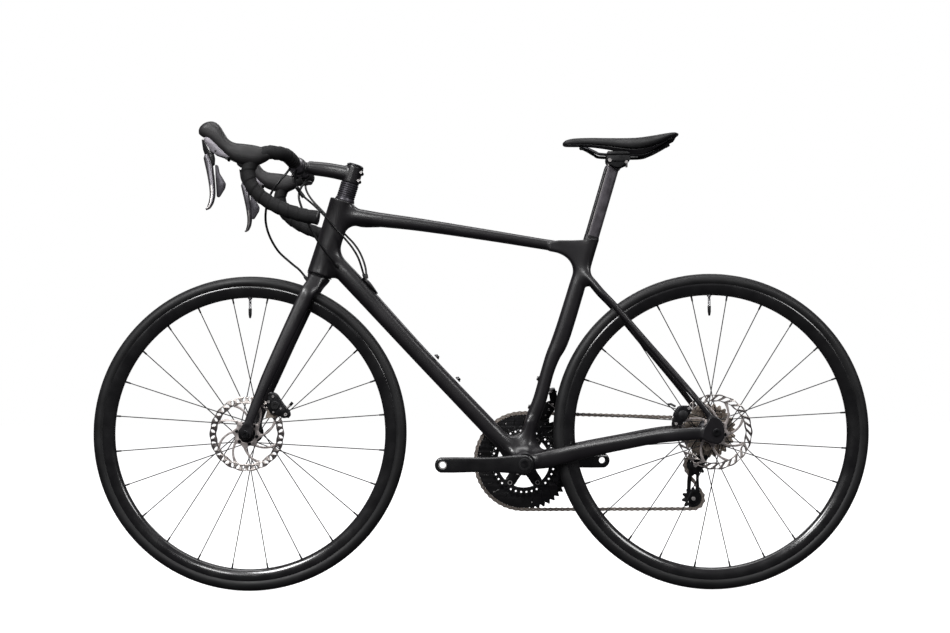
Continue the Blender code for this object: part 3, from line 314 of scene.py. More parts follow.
def rounded(outline, radius, steps=4):
    """An (x, z) outline with each corner replaced by a short curve."""
    out = []
    count = len(outline)
    for i in range(count):
        before, corner, after = (Vector(outline[(i + k) % count]) for k in (-1, 0, 1))
        back, ahead = before - corner, after - corner
        cut_back = min(radius, back.length * 0.48)
        cut_ahead = min(radius, ahead.length * 0.48)
        start = corner + back.normalized() * cut_back
        end = corner + ahead.normalized() * cut_ahead
        for k in range(steps + 1):
            t = k / steps
            point = start * (1 - t) ** 2 + corner * (2 * t * (1 - t)) + end * t ** 2
            out.append((point.x, point.y))
    return out


def steer_place(along, forward=0.0, y=0.0):
    return STEER_POINT + STEER_AXIS * along + STEER_FORWARD * forward + UNIT_Y * y


def mirrored(stations, side):
    return [(Vector((c[0], c[1] * side, c[2])), depth, width) for c, depth, width in stations]


def polar(centre, radius, angle, y=0.0):
    return Vector((centre.x + radius * cos(angle), y, centre.z + radius * sin(angle)))


def flat(spot):
    """A place as the (x, z) point of an outline."""
    return spot.x, spot.z


def circle(centre, radius, count):
    return [flat(polar(centre, radius, 2 * pi * i / count)) for i in range(count)]


def wavy_circle(centre, radius, height, waves, count, start=0.0):
    """An (x, z) outline whose radius swings about its middle value in even waves."""
    turns = [2 * pi * i / count for i in range(count)]
    return [flat(polar(centre, radius + height * cos(waves * (turn - start)), turn)) for turn in turns]


def ease(share):
    """Smooth step from 0 to 1."""
    share = max(0.0, min(1.0, share))
    return share * share * (3 - 2 * share)


class Shape:
    """Points in millimetres and faces, gathered from simple solids, each with a material."""

    def __init__(self, finish):
        self.points, self.faces, self.marks = [], [], []
        self.finishes = [finish]
        self.mark = 0

    def use(self, finish):
        if finish not in self.finishes:
            self.finishes.append(finish)
        self.mark = self.finishes.index(finish)
        return self

    def add(self, points, faces):
        base = len(self.points)
        self.points += points
        self.faces += [[base + i for i in face] for face in faces]
        self.marks += [self.mark] * len(faces)
        return self

    def rings(self, rings, loop=False, caps=True):
        count, faces = len(rings[0]), []
        for i in range(len(rings) if loop else len(rings) - 1):
            first, second = i * count, ((i + 1) % len(rings)) * count
            for j in range(count):
                k = (j + 1) % count
                faces.append((first + j, first + k, second + k, second + j))
        if caps and not loop:
            faces.append(list(range(count))[::-1])
            faces.append([(len(rings) - 1) * count + j for j in range(count)])
        return self.add([p for ring in rings for p in ring], faces)

    def tube(self, path, radius, sides=12):
        radii = radius if isinstance(radius, (list, tuple)) else [radius] * len(path)
        path = [Vector(p) for p in path]
        return self.rings([superellipse(p, a, s, r, r, 2.0, sides)
                           for p, r, (a, s) in zip(path, radii, round_frames(path))])

    def loft(self, stations, power=2.0, sides=32, steps=6):
        stations = smooth_stations(stations, steps)
        frames = plane_frames([s[0] for s in stations])
        return self.rings([superellipse(c, a, s, depth, width, power, sides)
                           for (c, depth, width), (a, s) in zip(stations, frames)])

    def turned(self, centre, axis, profile, segments):
        """A profile of (radius, place along the axis), closed, turned about the axis."""
        across = UNIT_Z - axis * axis.z if abs(axis.z) < 0.9 else UNIT_X - axis * axis.x
        across = across.normalized()
        side = axis.cross(across)
        rings = []
        for i in range(segments):
            angle = 2 * pi * i / segments
            out = across * cos(angle) + side * sin(angle)
            rings.append([centre + out * radius + axis * along for radius, along in profile])
        return self.rings(rings, loop=True)

    def plate(self, outlines, y_low, y_high, bevel=0.0):
        """A flat plate in the XZ plane; the first outline is its edge and the others are its holes."""
        curve = bpy.data.curves.new("plate", "CURVE")
        curve.dimensions = "2D"
        curve.fill_mode = "BOTH"
        curve.extrude = (y_high - y_low) / 2 - bevel
        curve.bevel_depth = bevel
        curve.bevel_resolution = 1
        curve.offset = -bevel
        for outline in outlines:
            spline = curve.splines.new("POLY")
            spline.points.add(len(outline) - 1)
            for point, (x, z) in zip(spline.points, outline):
                point.co = (x, z, 0, 1)
            spline.use_cyclic_u = True
        holder = bpy.data.objects.new("plate", curve)
        mesh = bpy.data.meshes.new_from_object(holder)
        middle = (y_low + y_high) / 2
        points = [Vector((v.co.x, middle + v.co.z, v.co.y)) for v in mesh.vertices]
        faces = [list(p.vertices)[::-1] for p in mesh.polygons]
        bpy.data.objects.remove(holder)
        bpy.data.meshes.remove(mesh)
        return self.add(points, faces)

    def bolt(self, centre, axis, radius, height, socket=0.5):
        """A round bolt head with a hexagonal socket, standing on centre."""
        axis = Vector(axis).normalized()
        base = Vector(centre)
        across = axis.orthogonal().normalized()
        side = axis.cross(across)
        outer = [superellipse(base + axis * along, across, side, r, r, 2.0, 18)
                 for r, along in ((radius, 0), (radius, height * 0.75), (radius * 0.88, height))]
        self.rings(outer, caps=False)
        hexagon = [superellipse(base + axis * along, across, side, r, r, 2.0, 6)
                   for r, along in ((radius * socket, height), (radius * socket, height * 0.35))]
        rim = [hexagon[0][i // 3] for i in range(18)]
        self.rings([outer[-1], rim], caps=False)
        self.rings(hexagon, caps=False)
        self.add(hexagon[1], [list(range(6))])
        return self.add(outer[0], [list(range(18))[::-1]])

    def bolts(self, axis, *rows):
        """Several bolts with one axis, each given as (centre, radius, height)."""
        for centre, radius, height in rows:
            self.bolt(centre, axis, radius, height)
        return self

    def mesh(self, name):
        mesh = bpy.data.meshes.new(name)
        mesh.from_pydata([tuple(p * MM) for p in self.points], [], self.faces)
        for finish in self.finishes:
            mesh.materials.append(finish)
        mesh.polygons.foreach_set("material_index", self.marks)
        bm = bmesh.new()
        bm.from_mesh(mesh)
        bmesh.ops.remove_doubles(bm, verts=bm.verts, dist=1e-6)
        bmesh.ops.recalc_face_normals(bm, faces=bm.faces)
        bm.to_mesh(mesh)
        bm.free()
        return mesh

    def piece(self, name, sharp=35):
        mesh = self.mesh(name)
        made = bpy.data.objects.new(name, mesh)
        bpy.context.scene.collection.objects.link(made)
        mesh.shade_smooth()
        mesh.set_sharp_from_angle(angle=radians(sharp))
        return made


def apply_modifiers(made):
    """Apply a piece's modifiers to its mesh."""
    graph = bpy.context.evaluated_depsgraph_get()
    mesh = bpy.data.meshes.new_from_object(made.evaluated_get(graph))
    made.modifiers.clear()
    made.data = mesh


def mesh_arrays(mesh):
    """A mesh's points and the vertex pairs of its edges, as arrays."""
    points = np.empty(len(mesh.vertices) * 3)
    mesh.vertices.foreach_get("co", points)
    ends = np.empty(len(mesh.edges) * 2, dtype=np.int32)
    mesh.edges.foreach_get("vertices", ends)
    return points.reshape(-1, 3), ends.reshape(-1, 2)


def neighbour_sum(points, first, second):
    """For each point, the sum of the points at the other ends of its edges."""
    total = np.empty_like(points)
    for axis in range(3):
        total[:, axis] = (np.bincount(first, points[second, axis], len(points))
                          + np.bincount(second, points[first, axis], len(points)))
    return total


def move_points(mesh, points):
    mesh.vertices.foreach_set("co", points.ravel())
    mesh.update()


def even_out(mesh, rounds):
    """Low-pass smoothing that keeps the volume: each shrinking step is followed by a growing one."""
    points, ends = mesh_arrays(mesh)
    first, second = ends.T
    degree = np.bincount(ends.ravel(), minlength=len(points))[:, None]
    for _ in range(rounds):
        for factor in (0.5, -0.52):
            points = points + factor * (neighbour_sum(points, first, second) / degree - points)
    move_points(mesh, points)


def relax(mesh, spots, rounds):
    """Melt the lumps of a joint away: plain smoothing inside each (centre, radius), fading to its edge."""
    points, ends = mesh_arrays(mesh)
    weight = np.zeros(len(points))
    for centre, radius in spots:
        away = np.linalg.norm(points - np.array(centre) * MM, axis=1) / (radius * MM)
        weight = np.maximum(weight, np.clip(2 - 2 * away, 0, 1))
    near = ends[(weight[ends] > 0).any(axis=1)]
    used, local = np.unique(near, return_inverse=True)
    first, second = local.reshape(-1, 2).T
    degree = np.bincount(local.ravel())[:, None]
    share = 0.5 * weight[used][:, None] / degree
    inner = points[used]
    for _ in range(rounds):
        inner = inner + share * (neighbour_sum(inner, first, second) - degree * inner)
    points[used] = inner
    move_points(mesh, points)


def fused(made, voxel, rounds, fillet=0.0, calm=12):
    """Melt a piece's overlapping solids into one skin, with fillets of this radius where they meet."""
    finish = made.data.materials[0]
    turn = Matrix.Rotation(radians(21), 4, "Y") @ Matrix.Rotation(radians(13), 4, "X")
    made.data.transform(turn)
    for grow in ((fillet, -fillet) if fillet else (0.0,)):
        melt = made.modifiers.new("melt", "REMESH")
        melt.mode = "VOXEL"
        melt.voxel_size = voxel * MM
        soften = made.modifiers.new("soften", "SMOOTH")
        soften.factor = 0.5
        soften.iterations = rounds
        if grow:
            swell = made.modifiers.new("swell", "DISPLACE")
            swell.mid_level = 0.0
            swell.strength = grow * MM
    apply_modifiers(made)
    made.data.transform(turn.inverted())
    even_out(made.data, calm)
    made.data.materials.clear()
    made.data.materials.append(finish)
    made.data.shade_smooth()
    return made


def cut_with(made, tool):
    """Cut a tool shape out of a piece."""
    other = tool.piece("tool")
    modifier = made.modifiers.new("cut", "BOOLEAN")
    modifier.operation = "DIFFERENCE"
    modifier.object = other
    apply_modifiers(made)
    bpy.data.objects.remove(other)
    made.data.shade_smooth()
    made.data.set_sharp_from_angle(angle=radians(40))
    return made


def place(made, body, *nodes):
    """Put a piece on its CAD body, in place of the CAD nodes it stands for."""
    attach(made, body)
    if nodes:
        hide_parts(*nodes)


# ---------------------------------------------------------------- frame and fork

def build_frame():
    shape = Shape(CARBON)
    head = [(steer_place(d, 4.2), depth, width) for d, depth, width in
            ((HEAD_BOTTOM, 27.4, 24.5), (-165, 27, 22.5), (-110, 26.4, 20), (-50, 26.6, 20.5),
             (HEAD_TOP, 27, 22.5))]
    shape.loft(head, 2.3)
    shape.loft([((-300, 0, 810), 18.5, 16), ((-275, 0, 806), 18.2, 17.5), ((-213, 0, 797.3), 15.6, 18.5),
                ((-126.7, 0, 785.9), 13.8, 17.5), ((20, 0, 762.5), 12.2, 15), ((150, 0, 740.5), 11.6, 13),
                ((190, 0, 735.5), 12.4, 13), ((232, 0, 734.5), 13.4, 13)], 2.8)
    shape.loft([((-318, 0, 712), 21, 16), ((-256.9, 0, 646), 20.2, 19), ((-128, 0, 504.3), 18, 21.5),
                ((10, 0, 358), 18.2, 23.5), ((52, 0, 313.6), 19, 26), ((90, 0, 277), 20, 30)], 2.8)
    shape.loft([((97, 0, 285), 17.5, 28), ((109, 0, 352), 15.8, 17), ((129, 0, 406), 14.8, 15.5),
                ((145, 0, 463), 14.2, 15.2), ((158, 0, 500), 15.8, 15.2), ((172, 0, 529), 18.2, 15.4),
                ((189, 0, 578), 18.2, 15.6), ((225, 0, 694.5), 17.4, 15.6), ((242, 0, 751), 17.4, 15.4),
                (COLLAR + SEAT_AXIS * 12, 17.4, 15.3)], 2.4)
    shape.tube([CRANK_CENTRE - UNIT_Y * 43, CRANK_CENTRE + UNIT_Y * 43], 25, 40)
    chain_stay = [((100, 20, 273.5), 16, 14), ((122, 29.5, 277.5), 17, 9), ((160, 29, 285), 17.3, 8.6),
                  ((195, 32, 293), 17, 8.4), ((250, 40, 305), 15.5, 8), ((315, 50, 317.5), 14.2, 7.8),
                  ((365, 57.5, 327), 13.8, 7.6), ((412, 66.5, 333), 14, 7.6), ((478, 75.5, 337), 12.5, 4.2)]
    seat_stay = [((214, 6, 690), 8, 6), ((236, 15, 668), 8, 7), ((262, 24.5, 636.5), 7.4, 6.6),
                 ((292, 28, 604.5), 6.9, 6.4), ((350, 38, 535), 6.7, 6.2), ((423.5, 56, 448), 6.5, 5.6),
                 ((458, 69, 405), 6.5, 4.6), ((488, 75.5, 366), 7, 4.2)]
    dropout = rounded([(464, 325), (470, 350), (483, 371), (497, 373), (509, 360), (513, 340),
                       (511, 322), (500, 313), (482, 316)], 6)
    for side in (-1, 1):
        shape.loft(mirrored(chain_stay, side), 2.6, 24)
        shape.loft(mirrored(seat_stay, side), 2.3, 24)
        shape.plate([dropout], *sorted((side * 71, side * 80)))
    add_fillers(shape)
    made = fused(shape.piece("frame_skin"), 1.5, 4, 9, 60)
    joints = [((86, 0, 318), 72), ((226, 0, 712), 62), ((-292, 0, 728), 46), ((-290, 0, 800), 40)]
    relax(made.data, joints, 160)
    tool = Shape(CARBON)
    tool.loft([(COLLAR - SEAT_AXIS * 175, 16, 11.5), (COLLAR + SEAT_AXIS * 8, 16, 11.5)], 3.6, 48, 2)
    tool.tube([REAR_AXLE - UNIT_Y * 90, REAR_AXLE + UNIT_Y * 90], 6.6, 20)
    tool.tube([steer_place(HEAD_BOTTOM - 6), steer_place(HEAD_TOP + 6)], 17, 24)
    tool.plate([[(190, 749.6), (290, 749.6), (290, 780), (190, 780)]], -30, 30)
    place(cut_with(made, tool), "frame", "frame", "headset_bearing_lower", "headset_bearing_upper")


def add_fillers(shape):
    """Gussets that give the joints of the tubes their wide, soft curves."""
    shape.loft([((-268, 0, 795), 10, 12), ((-250, 0, 789), 8, 12), ((-215, 0, 786), 5, 11)], 2.2)
    web = rounded([(22, 330), (35, 357), (54, 337), (66, 328.5), (79, 325.5), (88, 331), (94, 345), (99, 366),
                   (114, 366), (112, 280), (52, 280)], 3)
    shape.plate([web], -20, 20, 4)
    cluster = rounded([(150, 746.5), (172, 749.8), (240, 749.8), (240, 690), (214, 684), (204, 692),
                       (198, 706), (186, 716.5), (170, 724), (150, 728)], 3)
    shape.plate([cluster], -14.2, 14.2, 3)
    shape.loft([((112, 0, 300), 12, 18), ((130, 0, 304), 8, 14)], 2.2)


def build_fork():
    shape = Shape(CARBON)
    blade = [((-361, 24, 655), 14.5, 8), ((-367.5, 30, 640), 16.4, 9), ((-379, 32, 613.8), 16.4, 9),
             ((-413.3, 38.5, 540), 14.8, 8.6), ((-448.5, 46, 462), 13.2, 7.8), ((-463, 50, 428), 11.4, 7.2),
             ((-478, 54, 390), 10.8, 6), ((-490.5, 56.3, 356), 10, 5.6)]
    crown = [(steer_place(-226, 9, -31), 15, 12), (steer_place(-209, 7, -22), 17.5, 16),
             (steer_place(-203, 5, 0), 20.5, 14), (steer_place(-209, 7, 22), 17.5, 16),
             (steer_place(-226, 9, 31), 15, 12)]
    crown = smooth_stations(crown, 6)
    shape.rings([superellipse(c, STEER_FORWARD, STEER_AXIS, depth, height, 2.6, 28)
                 for c, depth, height in crown])
    shape.loft([(steer_place(-203, 5), 23.5, 22), (steer_place(HEAD_BOTTOM - 1, 4.2), 26.8, 23.8)], 2.2)
    tip = rounded([(-508, 345), (-500, 362), (-484, 370), (-478, 352), (-482, 334), (-492, 325),
                   (-503, 329)], 6)
    for side in (-1, 1):
        shape.loft(mirrored(blade, side), 2.3, 24)
        shape.plate([tip], *sorted((side * 50, side * 61)))
    made = fused(shape.piece("fork_skin"), 1.4, 6, 9, 60)
    relax(made.data, [(tuple(steer_place(-214, 6)), 62)], 140)
    tool = Shape(CARBON)
    tool.tube([FRONT_AXLE - UNIT_Y * 90, FRONT_AXLE + UNIT_Y * 90], 6.6, 20)
    place(cut_with(made, tool), "steering", "fork")
    steerer = Shape(CARBON).tube([steer_place(-200), steer_place(STEM_TOP - 1)], 14.3, 32)
    place(steerer.piece("steerer"), "steering")


# ---------------------------------------------------------------- wheels

def tyre_profile():
    """Round tyre that ends on the rim's edges."""
    angles = [radians(turn) for turn in range(-126, 127, 7)]
    return [(324 + 14 * cos(a), 14 * sin(a)) for a in angles] + [(311, 9.3), (311, -9.3)]


def rim_profile():
    """Rounded box section with hooked edges and a narrow spoke bed."""
    half = [(291.5, 0), (291.8, 3.2), (293.6, 5.8), (297, 8.2), (301.5, 10.3), (306, 11.5), (311, 12),
            (315.2, 12), (316.2, 11.4), (316, 9.9), (310, 9.6)]
    return half + [(r, -y) for r, y in half[:0:-1]]


def hub_profile(front):
    if front:
        return [(6.4, -49.6), (9.5, -49.6), (10.5, -47), (10.5, -43.5), (16.8, -42.5), (16.8, -33.5),
                (14, -31), (20.5, -27.5), (23, -26.3), (23.4, -24.4), (23, -22.4), (19, -21.4),
                (12.5, -17), (10.6, -8), (10.2, 4), (10.8, 20), (13.5, 29), (19, 33.2), (23, 34.2),
                (23.4, 36.2), (23, 38), (19, 39), (12, 41.5), (9.8, 43), (9.5, 49.6), (6.4, 49.6)]
    return [(6.4, -70.6), (10, -70.6), (11, -66), (11, -58), (16.8, -57), (16.8, -48), (14.5, -45),
            (21, -38.5), (24, -37.3), (24.4, -35.2), (24, -33.2), (20, -32), (14.5, -28), (13, -18), (13, 4),
            (15.5, 12), (22, 16.2), (27, 17), (27.4, 19), (27, 21), (22, 22), (13, 23.4), (6.4, 23.4)]


def spoke_ends(i, axle, flanges):
    """Where spoke i leaves its flange and where it enters the rim, laced as in the CAD."""
    outer_angle = 2 * pi * (i + 0.5) / SPOKES
    flange_y, flange_radius = flanges[i % 2]
    lean = 1 if (i // 2) % 2 else -1
    inner_angle = outer_angle + lean * radians(60)
    start = polar(axle, flange_radius, pi / 2 - inner_angle, flange_y + lean * 1.4)
    stop = polar(axle, RIM_INNER, pi / 2 - outer_angle, copysign(1.5, flange_y))
    return start, stop


def build_wheel(word, axle, rotor_y, flanges):
    body = f"{word}_wheel"
    tyre = Shape(TYRE).turned(axle, UNIT_Y, tyre_profile(), 160).piece(f"{word}_tyre_skin")
    place(tyre, body, f"{word}_tyre")
    rim = Shape(GLOSS).turned(axle, UNIT_Y, rim_profile(), 160).piece(f"{word}_rim_skin", 50)
    place(rim, body, f"{word}_rim")
    hub = Shape(ANODISED).turned(axle, UNIT_Y, hub_profile(word == "front"), 48)
    spokes = Shape(SPOKE)
    nipples = Shape(ANODISED_MATTE)
    for i in range(SPOKES):
        start, stop = spoke_ends(i, axle, flanges)
        along = (stop - start).normalized()
        spokes.tube([start, stop], 1.1, 8)
        foot = stop + along * 1.0
        nipples.tube([foot - along * 12, foot - along * 10.5, foot - along * 4, foot],
                     [1.3, 1.9, 1.9, 2.4], 10)
        hub.tube([start - UNIT_Y * 1.6, start + UNIT_Y * 1.6], 1.9, 8)
    place(hub.piece(f"{word}_hub_shell"), body, f"{word}_hub")
    place(spokes.piece(f"{word}_spokes"), body)
    place(nipples.piece(f"{word}_nipples"), body)
    build_valve(word, axle)
    build_rotor(word, axle, rotor_y)


def build_valve(word, axle):
    foot = axle + UNIT_Z * RIM_INNER
    stem = Shape(SILVER)
    stem.tube([foot + UNIT_Z * 2, foot - UNIT_Z * 2.6], 4.6, 16)
    thread = [foot - UNIT_Z * (2.6 + 0.35 * i) for i in range(60)]
    stem.tube(thread, [2.75 if i % 2 else 3.0 for i in range(60)], 12)
    stem.use(PLASTIC).tube([foot - UNIT_Z * d for d in (23, 24, 36, 43, 44)], [3.4, 3.7, 3.5, 2.2, 1.5], 14)
    place(stem.piece(f"{word}_valve_stem"), f"{word}_wheel", f"{word}_valve")


def rotor_holes(axle):
    """Outlines of the 36 oval holes in the front brake track."""
    angles = [2 * pi * k / 14 for k in range(14)]
    holes = []
    for i in range(36):
        turn, slant = 2 * pi * (i + 0.5) / 36, 0.5 * (-1) ** i
        holes.append([flat(polar(axle, 72.6 + 4.6 * cos(angle), turn + 0.045 * sin(angle + slant)))
                      for angle in angles])
    return holes


def rotor_slots(axle):
    """Outlines of the 28 slanted slots in the rear brake track."""
    lean, half = 0.075, 0.062
    slots = []
    for i in range(28):
        turn = 2 * pi * (i + 0.5) / 28
        corners = ((67.2, lean - half), (67.2, lean + half), (76.8, half - lean), (76.8, -lean - half))
        slots.append(rounded([flat(polar(axle, reach, turn + swing)) for reach, swing in corners], 2))
    return slots


def rotor_arm(axle, base):
    """Outline of one swept arm, widest at its ends."""
    spine = smooth_path([polar(axle, r, base + radians(a)) for r, a in
                         ((28, 0), (36, 6), (46, 14.5), (56, 23.5), (66.5, 33))], 4)
    last = len(spine) - 1
    left, right = [], []
    for k, point in enumerate(spine):
        ahead = (spine[min(k + 1, last)] - spine[max(k - 1, 0)]).normalized()
        out = Vector((-ahead.z, 0, ahead.x)) * (2.2 + 1.6 * abs(2 * k / last - 1) ** 3)
        left.append(flat(point + out))
        right.append(flat(point - out))
    return left + right[::-1]


def build_rotor(word, axle, y):
    """Perforated, scalloped brake track on eight swept arms, bolted to a star-shaped alloy carrier."""
    arms, tilt = 8, radians(-9)
    edges = [wavy_circle(axle, radius, 0.8, 18, 360) for radius in (ROTOR_RADIUS - 0.9, 64.6)]
    openings = rotor_holes(axle) if word == "front" else rotor_slots(axle)
    disc = Shape(ROTOR).plate(edges + openings, y - 0.9, y + 0.9, 0.12)
    disc.use(ROTOR_ARM)
    for i in range(arms):
        disc.plate([rotor_arm(axle, 2 * pi * i / arms + tilt)], y - 0.8, y + 0.8, 0.1)
    star = wavy_circle(axle, 28.6, 2.6, arms, 96, tilt)
    disc.plate([star, circle(axle, 17.2, 60)], y - 1.5, y + 1.5, 0.3)
    disc.use(ANODISED)
    for i in range(6):
        disc.bolt(polar(axle, 22.4, radians(45 + 60 * i), y - 1.4), -UNIT_Y, 3.4, 2.2)
    ring = [(11, -3.2), (17.6, -3.2), (18.2, -2.4), (18.2, -1.4), (11, -1.4)]
    disc.turned(axle + UNIT_Y * y, UNIT_Y, ring, 40)
    place(disc.piece(f"{word}_rotor_disc", 30), f"{word}_wheel", f"{word}_rotor")


def build_wheels():
    build_wheel("front", FRONT_AXLE, FRONT_ROTOR_Y, ((-24, 20.5), (36, 20.5)))
    build_wheel("rear", REAR_AXLE, REAR_ROTOR_Y, ((-35, 21.5), (19, 24.5)))
    for word, body, axle, left, right, head in (("front", "steering", FRONT_AXLE, 61.5, 61.5, 61.4),
                                                ("rear", "frame", REAR_AXLE, 81, 88, 80.4)):
        shape = Shape(ANODISED).tube([axle - UNIT_Y * left, axle + UNIT_Y * right], 6, 24)
        shape.bolt(axle - UNIT_Y * head, -UNIT_Y, 8.5, 3.6, 0.42)
        place(shape.piece(f"{word}_axle_skin"), body, f"{word}_thru_axle")


# ---------------------------------------------------------------- drive

def pitch_radius(teeth):
    return LINK_PITCH / (2 * sin(pi / teeth))


def tooth_outline(centre, teeth, tip, phase):
    """Round roller seats between pointed teeth, as (x, z) points."""
    tooth = ((-0.34, -1.6), (-0.18, -3.3), (0, -3.9), (0.18, -3.3), (0.34, -1.6),
             (0.62, 1.2), (0.86, tip), (1.14, tip), (1.38, 1.2))
    return [flat(polar(centre, pitch_radius(teeth) + reach, phase + (2 * i + share) * pi / teeth))
            for i in range(teeth) for share, reach in tooth]


def crank_layer(side, inset, root_y, tip_y):
    """One level of a crank arm: a slightly waisted bar with a round end, drawn in by the inset."""
    root, end = 20 - inset, 16.6 - inset
    upper = [(8, root), (30, root - 1.5), (60, 15.8 - inset), (100, 15.4 - inset), (150, 16.3 - inset)]
    lower = [(x, -z) for x, z in reversed(upper)]
    outline = upper + arc((CRANK_LENGTH, 0), end, 75, -75, 19) + lower + arc((0, 0), root, 265, 95, 23)
    levels = [root_y + (tip_y - root_y) * ease((abs(x) - 20) / 110) for x, _ in outline]
    return [CRANK_CENTRE + Vector((side * x, side * y, z)) for (x, z), y in zip(outline, levels)]


def crank_solid(side, inner):
    """A crank arm whose faces run outwards from the spindle (inner or 66) to the pedal (60.5 or 73)."""
    faces = ((inner, 60.5), (66, 73))
    layers = []
    for face, depth, inset in ((0, 0, 2.0), (0, 1.2, 0.5), (0, 2.5, 0), (1, -4.5, 0), (1, -1.6, 1.0),
                               (1, -0.4, 2.8), (1, 0, 5.0)):
        root, tip = (level + depth for level in faces[face])
        layers.append(crank_layer(side, inset, root, tip))
    return Shape(GLOSS).rings(layers)


def build_crank_arms():
    for side, word, inner in ((-1, "left", 46.2), (1, "right", 54.5)):
        arm = crank_solid(side, inner).piece(f"crank_{word}_skin")
        ends = sorted((side * 40, side * 90))
        pedal = [CRANK_CENTRE + Vector((side * CRANK_LENGTH, y, 0)) for y in ends]
        place(cut_with(arm, Shape(GLOSS).tube(pedal, 7.15, 32)), "crank", f"crank_arm_{word}")
    build_crank_fittings()
    build_spider()


def build_crank_fittings():
    """Pedal bushings, the spindle, its cap and the pinch bolts of the left arm."""
    shape = Shape(STEEL)
    for side in (-1, 1):
        end = CRANK_CENTRE + UNIT_X * side * CRANK_LENGTH
        bush = [(7.1, 60.8), (8.6, 60.8), (8.6, 61.4), (8.6, 72.6), (8.8, 73.1), (7.1, 73.1)]
        shape.turned(end, UNIT_Y * side, bush, 32)
        thread = [(7.15 if i % 2 else 6.8, 61 + 0.5 * i) for i in range(25)]
        shape.turned(end, UNIT_Y * side, thread + [(7.6, 73), (7.6, 61)], 32)
    shape.use(ANODISED).tube([CRANK_CENTRE - UNIT_Y * 66.6, CRANK_CENTRE + UNIT_Y * 60], 12, 40)
    shape.use(PLASTIC)
    cap = [(0, 65), (13.2, 65), (13.2, 66.8), (12.4, 67.6), (8.6, 67.6), (8.2, 66.2), (0, 66.2)]
    shape.turned(CRANK_CENTRE, -UNIT_Y, cap, 48)
    shape.turned(CRANK_CENTRE, UNIT_Y, [(0, 65), (14.5, 65), (14.5, 67), (13, 67.9), (0, 68.2)], 48)
    for i in range(8):
        spot = polar(CRANK_CENTRE, 10.4, 2 * pi * i / 8, -67.2)
        shape.tube([spot, spot - UNIT_Y * 1.0], 1.3, 10)
    shape.use(STEEL)
    for along in (52.5, 60.5):
        shape.bolt(CRANK_CENTRE + Vector((-15, -along, -19)), -UNIT_Z, 3.3, 2.6)
    place(shape.piece("crank_fittings"), "crank")


def build_spider():
    """Four broad arms from the hub to the chainring bolts, and the bolts with their ringed sleeves."""
    arm = ((29, -0.46), (40, -0.30), (52, -0.235), (60, -0.18), (63, -0.09), (63.4, 0),
           (63, 0.09), (60, 0.18), (52, 0.235), (40, 0.30), (29, 0.46))
    outline = [flat(polar(CRANK_CENTRE, radius, angle + spread))
               for angle in sorted(a % (2 * pi) for a in BOLT_ANGLES) for radius, spread in arm]
    shape = Shape(GLOSS).plate([rounded(outline, 2.0, 2)], 49.4, 56.5, 1.0)
    hub = [(12, 46.4), (24, 46.4), (26, 48), (31, 50), (31, 57), (24, 60), (12, 60)]
    shape.turned(CRANK_CENTRE, UNIT_Y, hub, 48)
    collar = [(3.2, -37.8), (5.0, -37.8), (5.2, -37.2), (4.9, -36.6), (3.2, -36.8)]
    for angle in BOLT_ANGLES:
        spot = polar(CRANK_CENTRE, BOLT_CIRCLE, angle)
        shape.use(GLOSS).tube([spot + UNIT_Y * 37.6, spot + UNIT_Y * 58], 5.2, 24)
        shape.use(STEEL).turned(spot, -UNIT_Y, collar, 24)
        shape.use(ANODISED).tube([spot + UNIT_Y * 36.4, spot + UNIT_Y * 37.7], 3.3, 6)
    place(shape.piece("crank_spider"), "crank")


def build_big_ring():
    """Outer chainring on four narrow tabs, with machined ridges and pins on its inner face."""
    teeth, y = RING_TEETH[0], RING_Y[0]
    inner = []
    for i in range(240):
        turn = 2 * pi * i / 240
        near = min(abs((turn - a + pi) % (2 * pi) - pi) for a in BOLT_ANGLES)
        inner.append(flat(polar(CRANK_CENTRE, 69.4 if near > 0.085 else 62.0, turn)))
    big = Shape(GLOSS).plate([tooth_outline(CRANK_CENTRE, teeth, 3.2, pi / 2), inner], y - 1.0, y + 1.0, 0.15)
    for angle in BOLT_ANGLES:
        spot, ahead = (polar(CRANK_CENTRE, reach, angle, y) for reach in (BOLT_CIRCLE, 68))
        big.turned(spot, UNIT_Y, [(4.4, -1.2), (9.0, -1.2), (9.0, 1.9), (4.4, 1.9)], 28)
        big.tube([spot, ahead], 2.2, 8)
    for i in range(26):
        turn = 2 * pi * (i + 0.3) / 26
        spot = polar(CRANK_CENTRE, 95.5 - 2.5 * (i % 3), turn)
        big.use(STEEL if i % 4 == 0 else GLOSS).tube([spot + UNIT_Y * 45.9, spot + UNIT_Y * 47], 1.7, 10)
        low = polar(CRANK_CENTRE, 81, turn + 0.06, 46.3)
        high = polar(CRANK_CENTRE, 92, turn + 0.02, 46.3)
        big.use(GLOSS).tube([low, high], 1.0, 6)
    place(big.piece("chainring_outer_skin", 30), "crank", "chainring_large")


